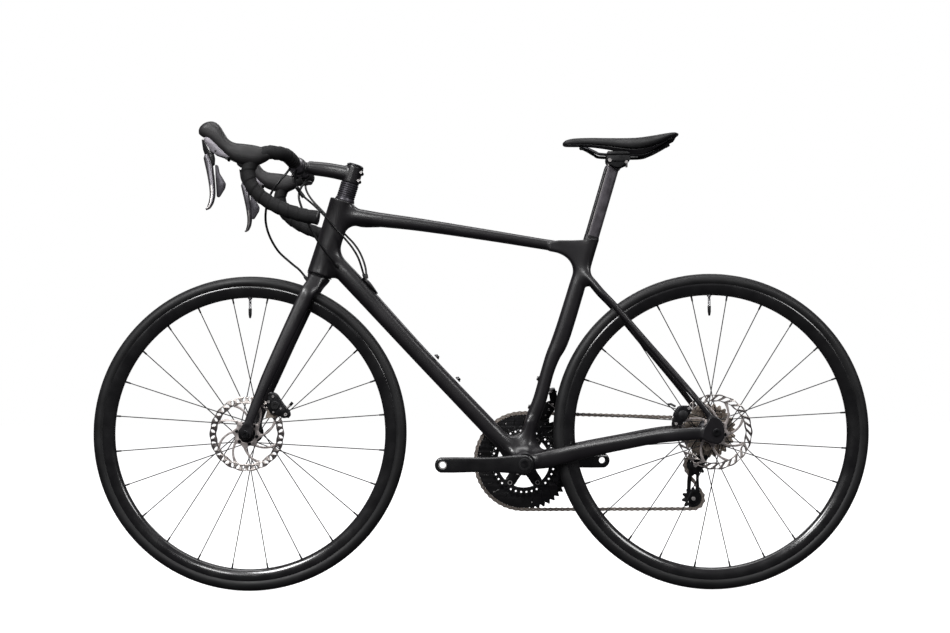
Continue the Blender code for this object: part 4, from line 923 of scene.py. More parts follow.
def build_small_ring():
    """Inner chainring with a row of small holes, four bolt eyes and pins."""
    teeth, y = RING_TEETH[1], RING_Y[1]
    outlines = [tooth_outline(CRANK_CENTRE, teeth, 3.4, pi / 2), circle(CRANK_CENTRE, 56.6, 120)]
    for i in range(36):
        outlines.append(circle(polar(CRANK_CENTRE, 66.6, 2 * pi * (i + 0.5) / 36), 2.1, 10))
    small = Shape(GLOSS).plate(outlines, y - 1.0, y + 1.0, 0.15)
    lobe = ((62, -0.22), (55, -0.19), (48.5, -0.13), (46.5, 0), (48.5, 0.13), (55, 0.19), (62, 0.22))
    for angle in BOLT_ANGLES:
        spot = polar(CRANK_CENTRE, BOLT_CIRCLE, angle)
        eye = [flat(polar(CRANK_CENTRE, radius, angle + spread)) for radius, spread in lobe]
        small.plate([rounded(eye, 2, 2), circle(spot, 4.6, 24)], y - 0.9, y + 1.9, 0.2)
    for i in range(12):
        spot = polar(CRANK_CENTRE, 63.5, 2 * pi * (i + 0.5) / 12, y - 0.9)
        small.tube([spot, spot - UNIT_Y * 0.6], 1.2, 8)
    place(small.piece("chainring_inner_skin", 30), "crank", "chainring_small")


def build_cassette():
    shape = Shape(COG)
    shape.turned(REAR_AXLE, UNIT_Y, [(7, 24.5), (17, 24.5), (17, 68.5), (7, 68.5)], 36)
    for i, teeth in enumerate(COG_TEETH):
        y = FIRST_COG_Y - i * COG_SPACING
        pitch = pitch_radius(teeth)
        outlines = [tooth_outline(REAR_AXLE, teeth, 2.2, pi / 2 + pi / teeth), circle(REAR_AXLE, 16.5, 24)]
        if teeth > 16:
            for k in range(6):
                spot = polar(REAR_AXLE, pitch / 2 + 7, 2 * pi * (k + 0.2 * i) / 6)
                outlines.append(circle(spot, (pitch - 23) / 2.6, 12))
        shape.plate(outlines, y - 0.8, y + 0.8, 0.1)
        spacer = [(16.5, -3), (19, -3), (19, -0.8), (16.5, -0.8)]
        shape.turned(REAR_AXLE + UNIT_Y * y, UNIT_Y, spacer, 30)
    lock_ring = [(7, 66), (17.5, 66), (18, 67), (17.5, 68.7), (12, 68.7), (11, 67.5), (7, 67.5)]
    shape.use(STEEL).turned(REAR_AXLE, UNIT_Y, lock_ring, 36)
    place(shape.piece("cassette_cogs", 30), "cassette", "cassette")


def build_pulleys():
    for word, centre in (("guide", GUIDE_PULLEY), ("tension", TENSION_PULLEY)):
        shape = Shape(PLASTIC)
        outlines = [tooth_outline(centre, PULLEY_TEETH, 2.4, pi / 2 + pi / PULLEY_TEETH),
                    arc(flat(centre), 4.2, 0, 340, 20)]
        outlines += [circle(polar(centre, 10.5, 2 * pi * k / 5), 2.3, 12) for k in range(5)]
        shape.plate(outlines, COG_Y - 0.9, COG_Y + 0.9, 0.2)
        bush = [(3.2, -2.4), (5.6, -2.4), (5.6, 2.4), (3.2, 2.4)]
        shape.use(STEEL).turned(centre + UNIT_Y * COG_Y, UNIT_Y, bush, 24)
        place(shape.piece(f"{word}_pulley_skin"), f"{word}_pulley", f"{word}_pulley")


def tangent_points(first, first_radius, first_turn, second, second_radius, second_turn):
    """Ends of the straight run between two wheels. A turn of 1 keeps the wheel on the run's right."""
    delta = second - first
    spread = atan2(delta.z, delta.x)
    reach = hypot(delta.x, delta.z)
    swing = asin((first_turn * first_radius - second_turn * second_radius) / reach)
    angle = spread - swing
    normal = Vector((-sin(angle), 0, cos(angle)))
    return first + normal * first_radius * first_turn, second + normal * second_radius * second_turn


def chain_route():
    """Closed centre line of the chain in short steps, starting on top of the chainring."""
    wheels = [(CRANK_CENTRE, pitch_radius(RING_TEETH[0]), 1, RING_Y[0]),
              (REAR_AXLE, pitch_radius(COG_TEETH[CHAIN_COG]), 1, COG_Y),
              (GUIDE_PULLEY, pitch_radius(PULLEY_TEETH), -1, COG_Y),
              (TENSION_PULLEY, pitch_radius(PULLEY_TEETH), 1, COG_Y)]
    runs = []
    for i, (centre, radius, turn, _) in enumerate(wheels):
        following = wheels[(i + 1) % 4]
        runs.append(tangent_points(centre, radius, turn, *following[:3]))
    route = []
    for i, (centre, radius, turn, y) in enumerate(wheels):
        start, stop = runs[i - 1][1] - centre, runs[i][0] - centre
        first, last = atan2(start.z, start.x), atan2(stop.z, stop.x)
        while turn * (first - last) < 0:
            last -= turn * 2 * pi
        steps = max(6, ceil(abs(last - first) * radius / 2))
        for k in range(steps):
            route.append(polar(centre, radius, first + (last - first) * k / steps, y))
        begin, end = runs[i]
        next_y = wheels[(i + 1) % 4][3]
        steps = ceil((end - begin).length / 4)
        for k in range(steps):
            share = k / steps
            slide = max(0.0, min(1.0, (share - 0.08) / 0.84))
            point = begin.lerp(end, share)
            route.append(Vector((point.x, y + (next_y - y) * slide, point.z)))
    return route


def resample(route, count, offset):
    """Evenly spaced points on a closed route, and the route's length."""
    spans = [(route[(i + 1) % len(route)] - p).length for i, p in enumerate(route)]
    total = sum(spans)
    out, i, passed = [], 0, 0.0
    for k in range(count):
        target = total * (k + offset) / count
        while passed + spans[i] < target:
            passed += spans[i]
            i += 1
        first, second = route[i], route[(i + 1) % len(route)]
        out.append(first.lerp(second, (target - passed) / spans[i]))
    return out, total


def link_plate(shape, first, second, y, thick, waist):
    """A figure-of-eight side plate between two pins."""
    along = (second - first).normalized()
    length = (second - first).length
    normal = Vector((-along.z, 0, along.x)).normalized()
    outline = []
    for start, stop, centre in ((110, 250, 0.0), (-70, 70, length)):
        for k in range(7):
            angle = radians(start + (stop - start) * k / 6)
            outline.append((centre + 4.3 * cos(angle), 4.3 * sin(angle)))
        outline.append((length / 2, -waist if centre == 0 else waist))
    shape.rings([[first + along * u + normal * v + UNIT_Y * level for u, v in outline]
                 for level in (y - thick / 2, y + thick / 2)])


def build_chain():
    route = chain_route()
    _, total = resample(route, 2, 0)
    count = 2 * round(total / LINK_PITCH / 2)
    pins, _ = resample(route, count, 0.37)
    shape = Shape(CHAIN)
    for i, pin in enumerate(pins):
        following = pins[(i + 1) % count]
        level = 1.45 if i % 2 else 2.3
        for side in (-1, 1):
            link_plate(shape, pin, following, side * level, 0.85, 2.9)
        shape.use(STEEL).tube([pin - UNIT_Y * 2.85, pin + UNIT_Y * 2.85], 1.5, 8)
        shape.use(CHAIN).tube([pin - UNIT_Y * 1.1, pin + UNIT_Y * 1.1], 3.6, 10)
    place(shape.piece("chain_links", 40), "frame", "chain")


def build_derailleur_cage():
    """Two slim plates with a long window, the pulley bolts, and the guide at the front."""
    outline = rounded([(481, 262), (474, 272), (463, 271), (457, 262), (453, 225), (452, 192), (456, 179),
                       (466, 174.5), (476, 181), (479, 200), (477, 232)], 4)
    window = rounded([(459, 206), (471, 206), (473, 240), (462, 242)], 4)
    shape = Shape(ANODISED)
    for y in (-4.8, 4.8):
        shape.plate([outline, window], COG_Y + y - 0.8, COG_Y + y + 0.8, 0.3)
    for centre in (GUIDE_PULLEY, TENSION_PULLEY):
        shape.use(ANODISED).tube([centre + UNIT_Y * (COG_Y - 5.5), centre + UNIT_Y * (COG_Y + 5.5)], 2.7, 16)
        shape.use(STEEL).bolt(centre + UNIT_Y * (COG_Y - 5.4), -UNIT_Y, 4.4, 1.6)
        shape.bolt(centre + UNIT_Y * (COG_Y + 5.4), UNIT_Y, 4.0, 1.4)
    place(shape.piece("cage_skin"), "frame", "derailleur_cage")


def build_rear_derailleur():
    shape = Shape(ANODISED)
    shape.loft([((503, 90, 303), 9, 3.5), ((501, 84, 297), 11, 6), ((493, 80, 284), 12.5, 8.5),
                ((484, 77, 272), 12.5, 8), ((476, 75, 263), 10.5, 5.5), ((470, 74, 258), 7, 3)], 2.6)
    body = fused(shape.piece("rear_derailleur_skin"), 1.0, 4)
    room = Shape(ANODISED).plate([[(478, 360), (478, 288), (520, 288), (520, 360)]], 60, 86.8)
    place(cut_with(body, room), "frame", "rear_derailleur")
    build_rear_derailleur_trim()


def build_rear_derailleur_trim():
    """Bolts, links and coil spring of the rear derailleur, and its hanger."""
    trim = Shape(STEEL)
    trim.bolts(UNIT_Y, ((502, 92.5, 302), 6.5, 3.0), ((474, 79, 261), 5.6, 3.0), ((489, 87, 279), 2.6, 2.0))
    trim.use(ANODISED_MATTE)
    links = [((497, 68, 296), 5, 2.2), ((486, 66, 284), 5, 2.2), ((474, 66, 272), 5.5, 2.4)]
    trim.loft(links, 2.6, 20)
    trim.tube([(496, 66, 300), (496, 84, 300)], 3.2, 16)
    trim.tube([(476, 66, 270), (476, 76, 266)], 4.2, 16)
    trim.tube([(470, 67, 261), (470, 76, 261)], 7.5, 24)
    trim.use(STEEL)
    trim.tube([polar(GUIDE_PULLEY, 5.9, t / 4, 67 + 0.13 * t) for t in range(60)], 0.7, 6)
    trim.tube([(500, 80, 291), (508, 82, 284)], 1.0, 10)
    place(trim.piece("rear_derailleur_trim"), "frame")
    hanger = rounded([(487, 330), (490, 350), (503, 350), (508, 330), (512, 300), (504, 292), (494, 299)], 4)
    shape = Shape(ANODISED_MATTE).plate([hanger, circle(REAR_AXLE, 6.6, 24)], 80.6, 86.2, 0.6)
    shape.use(STEEL).bolt((499, 86.2, 325), UNIT_Y, 3, 1.2)
    place(shape.piece("hanger_skin"), "frame", "derailleur_hanger")


def build_front_derailleur():
    """Clamp body, its two cage plates with their cross pins, and the link and bolts on the near side."""
    shape = Shape(ANODISED)
    shape.loft([((157, 25, 430), 6, 5), ((159, 30, 418), 8, 7), ((161, 36, 406), 8.5, 7),
                ((163, 43, 397), 7, 7)], 2.4)
    outer = rounded([(132, 352), (150, 362), (172, 396), (170, 404), (142, 388), (128, 372)], 5)
    inner = rounded([(130, 360), (146, 364), (174, 398), (172, 408), (146, 402), (132, 384)], 5)
    shape.plate([outer], 52.2, 53.4, 0.2)
    shape.plate([inner], 42.2, 43.4, 0.2)
    shape.tube([(168, 42.5, 397), (168, 53, 397)], 3.0, 16)
    shape.tube([(134, 42.5, 370), (134, 53, 370)], 2.4, 12)
    link_stations = [((153, 28, 421), 4.5, 2.5), ((159, 37, 409), 4, 2.2), ((166, 45, 401), 4.5, 2.5)]
    shape.use(ANODISED_MATTE).loft(link_stations, 2.6, 20)
    shape.use(STEEL)
    shape.bolt((153, 19.5, 424), (0.2, -1, 0.1), 3.4, 2.0)
    shape.bolt((166, 33, 423), (0.3, -1, 0.2), 2.2, 1.6)
    shape.bolts(-UNIT_Y, ((158, 30, 396), 2.6, 1.8), ((150, 38, 384), 2.2, 1.6), ((143, 38, 372), 2.0, 1.4))
    shape.tube([(150, 30, 398), (162, 36, 388)], 1.6, 10)
    place(shape.piece("front_derailleur_skin"), "frame", "front_derailleur")


def build_bottom_bracket():
    shape = Shape(ANODISED)
    cup = [(12.8, 30), (20.2, 30), (20.2, 43.3), (22.9, 43.3), (23.15, 43.3), (23, 44.6), (22.2, 45.2),
           (12.8, 45.2)]
    for side in (-1, 1):
        shape.turned(CRANK_CENTRE, UNIT_Y * side, cup, 48)
    place(shape.piece("bottom_bracket_cups"), "frame", "bottom_bracket_cup_left", "bottom_bracket_cup_right")


# ---------------------------------------------------------------- cockpit

def bar_route(side):
    """Centre line of one half of the handlebar, from near the stem to its end."""
    spots = [(34, -390, 912), (66, -390, 912), (140, -390, 912), (176, -393.5, 912.5), (199, -407, 913),
             (209, -428, 912), (210, -449, 900), (210, -460.5, 884), (210, -462.5, 866), (210, -457, 847),
             (210, -443, 829), (210, -425, 814.5), (210.5, -404, 802.5), (211, -379, 792.5),
             (211.5, -352, 784.5), (212, -322, 779)]
    return smooth_path([(x, side * y, z) for y, x, z in spots], 12)


def build_handlebar():
    clamp_radius, grip_radius = 15.9, 12
    shape = Shape(BAR)
    for side in (-1, 1):
        centres = [BAR_CENTRE] + bar_route(side)[:-6]
        shares = [ease((abs(point.y) - 34) / 32) for point in centres]
        radii = [clamp_radius + (grip_radius - clamp_radius) * share for share in shares]
        shape.tube(centres, radii, 28)
    place(shape.piece("handlebar_skin"), "steering", "handlebar")


def build_tape(side, word):
    """Bar tape: a tube whose radius steps once per turn, like overlapping wraps, with the bar's end plug."""
    route = [p for p in bar_route(side) if abs(p.y) > 82]
    dense = smooth_path(route, 6)
    lengths = [0.0]
    for before, point in zip(dense, dense[1:]):
        lengths.append(lengths[-1] + (point - before).length)
    total, rings = lengths[-1], []
    for point, (across, out), along in zip(dense, round_frames(dense), lengths):
        ring = []
        for k in range(20):
            turn = 2 * pi * k / 20
            wrap = (along / 21 - k / 20) % 1.0
            radius = 13.5 + 1.5 * wrap - 1.1 * max(0.0, (wrap - 0.86) / 0.14)
            radius *= 0.93 if along < 3 or along > total - 1.5 else 1.0
            ring.append(point + across * (radius * cos(turn)) + out * (radius * sin(turn)))
        rings.append(ring)
    shape = Shape(TAPE).rings(rings)
    start, ahead = dense[0], (dense[3] - dense[0]).normalized()
    shape.use(PLASTIC).tube([start - ahead * 2.5, start + ahead * 13], 14.4, 28)
    place(shape.piece(f"tape_{word}"), "steering", f"bar_tape_{word}")
    end, outward = route[-1], (route[-1] - route[-8]).normalized()
    plug = Shape(PLASTIC)
    plug.tube([end - outward * 12, end - outward * 1.0, end + outward * 1.2, end + outward * 2.2],
              [11.5, 14.6, 14.4, 11.5], 32)
    plug.tube([end + outward * 1.5, end + outward * 2.5], 7, 24)
    place(plug.piece(f"bar_plug_{word}"), "steering")


def build_stem():
    shape = Shape(CARBON)
    shape.tube([steer_place(SPACERS_TOP + 0.3), steer_place(STEM_TOP)], 18.6, 44)
    shape.loft([(steer_place(40, 4), 16.6, 16), ((-325, 0, 906), 15.6, 15.5), ((-368, 0, 911.4), 14.6, 18.5)],
               3.0, 36)
    rear_clamp = arc(flat(BAR_CENTRE), 19.6, -80, 80, 24) + [(-390, 930), (-390, 894)]
    shape.plate([rounded(rear_clamp, 1)], -20.5, 20.5)
    made = fused(shape.piece("stem_skin"), 1.0, 3, 3)
    tool = Shape(CARBON)
    tool.tube([BAR_CENTRE - UNIT_Y * 40, BAR_CENTRE + UNIT_Y * 40], 16.1, 40)
    tool.tube([steer_place(0), steer_place(80)], 14.5, 32)
    place(cut_with(made, tool), "steering", "stem")
    build_faceplate()
    build_stem_bolts()


def build_faceplate():
    """Front clamp half with its bolt ears and an open window at the middle."""
    bar = flat(BAR_CENTRE)
    shape = Shape(CARBON)
    for low, high in ((-20.8, -8.5), (8.5, 20.8)):
        shape.plate([arc(bar, 19.8, 98, 262, 40) + arc(bar, 16.1, 262, 98, 40)], low, high, 0.8)
    for start, stop in ((98, 152), (208, 262)):
        shape.plate([arc(bar, 19.6, start, stop, 14) + arc(bar, 16.1, stop, start, 14)], -9.5, 9.5, 0.3)
    for z in (930.6, 893.4):
        for y in (-13.5, 13.5):
            shape.use(CARBON).tube([(-402.5, y, z), (-392.6, y, z)], 4.6, 18)
            shape.use(STEEL).bolt((-402.3, y, z), -UNIT_X, 3.6, 2.6)
            shape.tube([(-393, y, z), (-385, y, z)], 2.4, 12)
    place(shape.piece("faceplate_skin"), "steering", "stem_faceplate")


def build_stem_bolts():
    """Pinch slot and bolts at the back of the stem, and the round top cap."""
    shape = Shape(ANODISED_MATTE)
    for along in (30.5, 49):
        for y in (-7.5, 7.5):
            centre = steer_place(along, -17.5, y)
            shape.use(ANODISED_MATTE).tube([centre, centre + UNIT_Y * copysign(5.5, y)], 3.9, 18)
            if y < 0:
                shape.use(STEEL).bolt(centre - UNIT_Y * 5.5, -UNIT_Y, 3.2, 1.6)
    shape.use(PLASTIC)
    slot = [steer_place(SPACERS_TOP + 0.6, -18.4), steer_place(STEM_TOP - 0.4, -18.4)]
    shape.rings([superellipse(p, STEER_FORWARD, UNIT_Y, 0.7, 1.0, 4, 12) for p in slot])
    place(shape.piece("stem_bolts"), "steering")
    profile = [(5, 0.3), (18.3, 0.3), (18.5, 1.2), (18.1, 3.2), (15.6, 5.3), (7.5, 5.8), (5, 4)]
    cap = Shape(ANODISED).turned(steer_place(STEM_TOP), STEER_AXIS, profile, 48)
    cap.use(STEEL).bolt(steer_place(STEM_TOP + 2.6), STEER_AXIS, 4.9, 2.6)
    place(cap.piece("top_cap_skin"), "steering", "stem_top_cap")


def build_spacers():
    """Conical bearing cover and a stack of thin spacers with a groove between each pair."""
    profile = [(14.8, HEAD_TOP + 0.4), (21.6, HEAD_TOP + 0.4), (21.6, HEAD_TOP + 1.8), (21, HEAD_TOP + 4),
               (20, HEAD_TOP + 6.6), (19.6, HEAD_TOP + 7.6)]
    level, step = HEAD_TOP + 8.0, 4.6
    while level + step < SPACERS_TOP:
        profile += [(17.4, level), (19.6, level + 0.8), (19.6, level + step - 0.8), (17.4, level + step)]
        level += step
    profile += [(16.2, SPACERS_TOP - 0.4), (14.8, SPACERS_TOP - 0.4)]
    shape = Shape(DARK_LEVER).turned(STEER_POINT, STEER_AXIS, profile, 56)
    place(shape.piece("spacers_skin", 25), "steering", "headset_spacers")
    ends = [(steer_place(HEAD_BOTTOM - drop, 4.2), 27.2, 24.2) for drop in (1.8, 0.4)]
    place(Shape(ANODISED).loft(ends, 2.3, 48, 2).piece("crown_race"), "steering")


def hood_sections(side):
    """Rings of the hood from the bar forward, from levels of (x, low z, high z, half width)."""
    table = [(-416, 903, 916, 6), (-423, 897, 920.5, 11.5), (-436, 890, 923.5, 15),
             (-452, 884.5, 927.5, 16.4), (-470, 886.5, 930, 17), (-490, 893, 932.5, 17.4),
             (-503, 900, 940, 17.4), (-512, 907, 953, 17.2), (-521, 914.5, 967.5, 16.8),
             (-531, 924, 975, 16.2), (-542, 934, 976, 15.4), (-552, 942, 972.4, 14),
             (-559.5, 947.5, 966, 10.5), (-563, 951, 960, 5)]
    spots = smooth_path([(x, low, high) for x, low, high, _ in table], 4)
    widths = smooth_path([(w, 0, 0) for *_, w in table], 4)
    return [superellipse(Vector((x, side * HOOD_Y, (low + high) / 2)), UNIT_Z, UNIT_Y, (high - low) / 2,
                         width.x, 2.5, 36) for (x, low, high), width in zip(spots, widths)]


def build_shifter(side, word):
    """Rubber hood over the lever's bracket, with the bracket's bare side panel in front."""
    y = side * HOOD_Y
    hood = fused(Shape(HOOD).rings(hood_sections(side)).piece(f"hood_{word}"), 1.1, 5)
    slot = [(-570, 932), (-552, 946), (-530, 936), (-512, 916), (-503, 900), (-503, 880), (-570, 880)]
    slot = Shape(HOOD).plate([slot], y - 7.4, y + 7.4)
    place(cut_with(hood, slot), "steering", f"shifter_{word}")
    panel = rounded([(-549, 943), (-538, 941), (-520, 924), (-501, 908), (-498, 901), (-512, 902),
                     (-529, 908), (-536, 914), (-541, 922), (-549.5, 934)], 2.0)
    shape = Shape(BRACKET)
    for out in (-1, 1):
        shape.use(BRACKET).plate([panel], *sorted((y + out * 10.4, y + out * 13.6)), 1.0)
        spot = Vector((-527, y + out * 13.4, 914.5))
        shape.use(PLASTIC).tube([spot, spot + UNIT_Y * out * 0.8], 2.2, 16)
        # Small polished silver dot: a painted glint on the bracket panel
        spot += Vector((8.5, 0, 2))
        shape.use(SILVER).tube([spot, spot + UNIT_Y * out * 0.9], 1.6, 14)
        shape.use(HOOD).tube([(-505, y + out * 10.4, 899.5), (-505, y + out * 15.4, 899.5)], 3.0, 16)
    place(shape.piece(f"bracket_{word}"), "steering")


def blade_rings(side, stations, power, sides=24):
    centres = smooth_path([(x, side * (HOOD_Y + out), z) for x, z, _, _, out in stations], 8)
    sizes = smooth_path([(depth, width, 0) for _, _, depth, width, _ in stations], 8)
    frames = plane_frames(centres)
    return [superellipse(c, a, s, size.x, size.y, power, sides)
            for c, size, (a, s) in zip(centres, sizes, frames)]


def build_lever(side, word):
    """Pivot cap, brake blade with a painted highlight in bright steel along its lower half and its forward
    tip, and the shift paddle behind it.
    """
    y = side * HOOD_Y
    cap = rounded([(-557, 940), (-549, 941.5), (-541, 932), (-535, 917), (-531, 902), (-531.5, 888),
                   (-535.5, 886), (-540, 893), (-548, 902), (-554, 918)], 3)
    shape = Shape(GLOSS).plate([cap], y - 6.6, y + 6.6, 1.8)
    for out in (-1, 1):
        spot = Vector((-548, y + out * 6.6, 934))
        shape.use(STEEL).tube([spot, spot + UNIT_Y * out * 0.8], 2.2, 16)
    place(shape.piece(f"lever_cap_{word}"), f"brake_lever_{word}", f"lever_pivot_{word}")
    stations = [(-547, 909, 4.0, 8.0, 0), (-546, 902, 6.6, 8.6, 0), (-542.5, 889, 7.4, 9, 0),
                (-538.6, 868, 6.2, 9.6, 1), (-535.2, 845, 5.0, 9.8, 3), (-533.8, 826, 4.4, 9.2, 6),
                (-535.6, 811, 3.7, 8.4, 9.5), (-539.5, 801, 2.8, 6.8, 12.5), (-545.5, 796.5, 1.9, 4.6, 14.5)]
    blade = Shape(LEVER)
    # The blade's lower half is bright steel, a painted highlight; a dark edge runs in front of it and the
    # lever's grey covers its rear half
    for first, last, finish in ((0, 5, LEVER), (4, 9, STEEL)):
        blade.use(finish).rings(blade_rings(side, stations[first:last], 2.8))
    edge = [(x - depth * 0.8, z, 1.9, width + 0.5, out) for x, z, depth, width, out in stations[1:8]]
    blade.use(PLASTIC).rings(blade_rings(side, edge, 2.4, 16))
    shade = [(x + depth * 0.5, z, depth * 0.55, width + 0.4, out)
             for x, z, depth, width, out in stations[3:8]]
    blade.use(LEVER).rings(blade_rings(side, shade, 2.6, 16))
    place(blade.piece(f"lever_skin_{word}"), f"shift_lever_{word}", f"lever_blade_{word}")
    outline = rounded([(-531, 889), (-525, 888), (-522, 872), (-515.5, 861.5), (-509.2, 850.5),
                       (-510.6, 841), (-522, 822.5), (-527.5, 823), (-528.6, 842), (-530, 862)], 3)
    low, high = sorted((y - side * 1.6, y - side * 7.2))
    paddle = Shape(DARK_LEVER).plate([outline], low, high, 1.2)
    place(paddle.piece(f"paddle_{word}"), f"shift_paddle_{word}", f"shift_paddle_{word}")


# ---------------------------------------------------------------- hoses and brakes

FRONT_HOSE = [(-398, -79, 898.5), (-406, -85, 886), (-420, -92, 868), (-437, -90, 843), (-448, -78, 816),
              (-452, -60, 787), (-446, -44, 758), (-430, -29, 728), (-405, -20, 704), (-386, -17, 688),
              (-371, -15, 669)]
REAR_HOSE = [(-394, 79, 896.8), (-386, 62, 887), (-370, 32, 880.5), (-363, 4, 879.5), (-368, -24, 877),
             (-378, -46, 864), (-382, -58, 842), (-375, -59, 816), (-362, -54, 784), (-347, -46, 754),
             (-327, -35, 725), (-305, -20.5, 697)]
LEFT_CABLE = [(-384, -78, 896.8), (-388, -70, 872), (-376, -60, 847), (-351, -50, 824), (-328, -42, 801),
              (-308, -34, 777), (-287, -29, 754), (-271, -25, 734), (-258, -20, 710), (-247, -12, 673)]
RIGHT_CABLE = [(-386, 78, 896.8), (-384, 73, 874), (-370, 63, 850), (-346, 52, 824), (-316, 39, 793),
               (-287, 31, 763), (-273, 26, 748), (-259, 20, 727), (-248, 14, 699), (-244, 10, 674)]


def build_hoses():
    shape = Shape(CABLE).tube(smooth_path(FRONT_HOSE, 12), 2.5, 14)
    place(shape.piece("front_hose_skin"), "steering", "front_brake_hose")
    for name, node, route, radius in (
            ("rear_hose_skin", "rear_brake_hose", REAR_HOSE, 2.5),
            ("cable_left_skin", "shift_cable_left", LEFT_CABLE, 2.3),
            ("cable_right_skin", "shift_cable_right", RIGHT_CABLE, 2.3)):
        route = smooth_path(route, 12)
        made = Shape(CABLE).tube(route, radius, 14).piece(name)
        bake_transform(made)
        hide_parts(node)
    build_cable_ends()


def route_end(route):
    """The last place on a route and its direction there."""
    end = Vector(route[-1])
    return end, (end - Vector(route[-2])).normalized()


def build_cable_ends():
    """Barrel adjuster sleeve on the left cable, and the slim ports where the routes enter the frame."""
    shape = Shape(PLASTIC)
    for route, radius in ((REAR_HOSE, 3.9), (LEFT_CABLE, 3.4), (RIGHT_CABLE, 3.4)):
        end, ahead = route_end(route)
        shape.tube([end - ahead * 7, end - ahead * 5, end + ahead * 3], [radius - 0.9, radius, radius], 18)
    shape.loft([((-250, 0, 672), 2.4, 8), ((-242, 0, 663), 4.4, 15), ((-232, 0, 651.5), 3.8, 14),
                ((-220, 0, 637.5), 1.5, 6)], 2.2, 28, 6)
    place(shape.piece("cable_grommets"), "frame")
    end, ahead = route_end(FRONT_HOSE)
    shape = Shape(PLASTIC).tube([end - ahead * 7, end - ahead * 5, end + ahead * 4], [3.0, 3.8, 4.0], 18)
    place(shape.piece("fork_grommet"), "steering")
    route = smooth_path(LEFT_CABLE, 12)
    centre = route[22]
    ahead = (route[26] - route[18]).normalized()
    spots = [centre + ahead * d for d in (-14, -12.5, -5, -4.5, 4.5, 5, 12.5, 14)]
    sleeve = Shape(PLASTIC).tube(spots, [3.1, 4.3, 4.3, 4.0, 4.0, 4.3, 4.3, 3.1], 18).piece("cable_adjuster")
    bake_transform(sleeve)


def build_caliper(word, body, outline, low, high, axle, rotor_y):
    """A block with rounded corners and a slot for the rotor."""
    made = Shape(ANODISED).plate([rounded(outline, 6)], low, high, 1.8).piece(f"{word}_caliper_skin")
    slot = Shape(ANODISED).turned(axle + UNIT_Y * rotor_y, UNIT_Y,
                                  [(40, -1.9), (82.5, -1.9), (82.5, 1.9), (40, 1.9)], 60)
    place(cut_with(made, slot), body, f"{word}_brake_caliper")


def build_front_caliper_trim():
    """Piston cap, bolts, hose fitting and pad plates of the front caliper."""
    cap = [(0, 51), (9.5, 51), (9.5, 53), (8, 54.2), (4, 54.2), (3.4, 53), (0, 53)]
    trim = Shape(ANODISED_MATTE).turned(Vector((-434, 0, 398)), -UNIT_Y, cap, 36)
    trim.use(STEEL)
    trim.bolts(-UNIT_Y, ((-411, -51.8, 379), 3.6, 2.2), ((-421, -51.8, 392), 2.4, 1.8),
               ((-438, -51.8, 417), 2.6, 1.8), ((-437, -51.8, 384), 2.0, 1.6), ((-447, -51.8, 406), 2.8, 1.8))
    trim.bolt((-408, -40.5, 375), (1, 0, -0.2), 3.6, 3.4)
    trim.bolt((-446, -40, 422), (-0.5, 0, 1), 3.4, 3.0)
    trim.tube([(-411, -34, 392), (-404, -34, 398)], 2.6, 14)
    pad = rounded([(-456, 372), (-450, 392), (-434, 405), (-426, 397), (-434, 372)], 2)
    trim.use(COG)
    for y in (-41.6, -36.4):
        trim.plate([pad], y - 1.2, y + 1.2)
    trim.use(PLASTIC).tube([(-404, -34, 398), (-399, -34.5, 404)], 3.2, 14)
    place(trim.piece("front_caliper_trim"), "steering")


def build_rear_caliper_trim():
    """Piston cap, bolts and the start of the hose on the rear caliper."""
    cap = [(0, 65), (10.5, 65), (10.5, 67), (9, 68), (0, 68)]
    trim = Shape(ANODISED_MATTE).turned(Vector((428, 0, 374)), -UNIT_Y, cap, 36)
    trim.use(STEEL)
    trim.bolts(-UNIT_Y, ((413, -65.8, 356), 3.0, 2.0), ((440, -65.8, 388), 2.8, 1.8))
    trim.bolt((409, -54, 368), (-1, 0, 0.3), 3.4, 3.2)
    trim.use(PLASTIC).tube([(414, -50, 392), (405, -47, 397), (398, -45, 396)], 2.4, 14)
    place(trim.piece("rear_caliper_trim"), "frame")


def build_calipers():
    rear = [(405, 349.5), (424, 351.5), (447, 383), (443, 394), (421, 394), (410, 379)]
    build_caliper("rear", "frame", rear, -66, -43, REAR_AXLE, REAR_ROTOR_Y)
    front = [(-446, 428), (-432, 424), (-418, 402), (-404, 386), (-402, 374), (-416, 370), (-428, 378),
             (-444, 380), (-452, 398)]
    build_caliper("front", "steering", front, -52, -29, FRONT_AXLE, FRONT_ROTOR_Y)
    build_front_caliper_trim()
    build_rear_caliper_trim()


# ---------------------------------------------------------------- seat

def rail_route(side):
    spots = [(415, 34, 961.5), (397, 32, 950.5), (372, 26, 937.5), (345, 22, 930.6), (268, 22, 932.8),
             (252, 19, 938), (238, 14, 945.5), (228, 9, 949.5), (223, 3.5, 950.5)]
    return smooth_path([(x, side * y, z) for x, y, z in spots], 8)


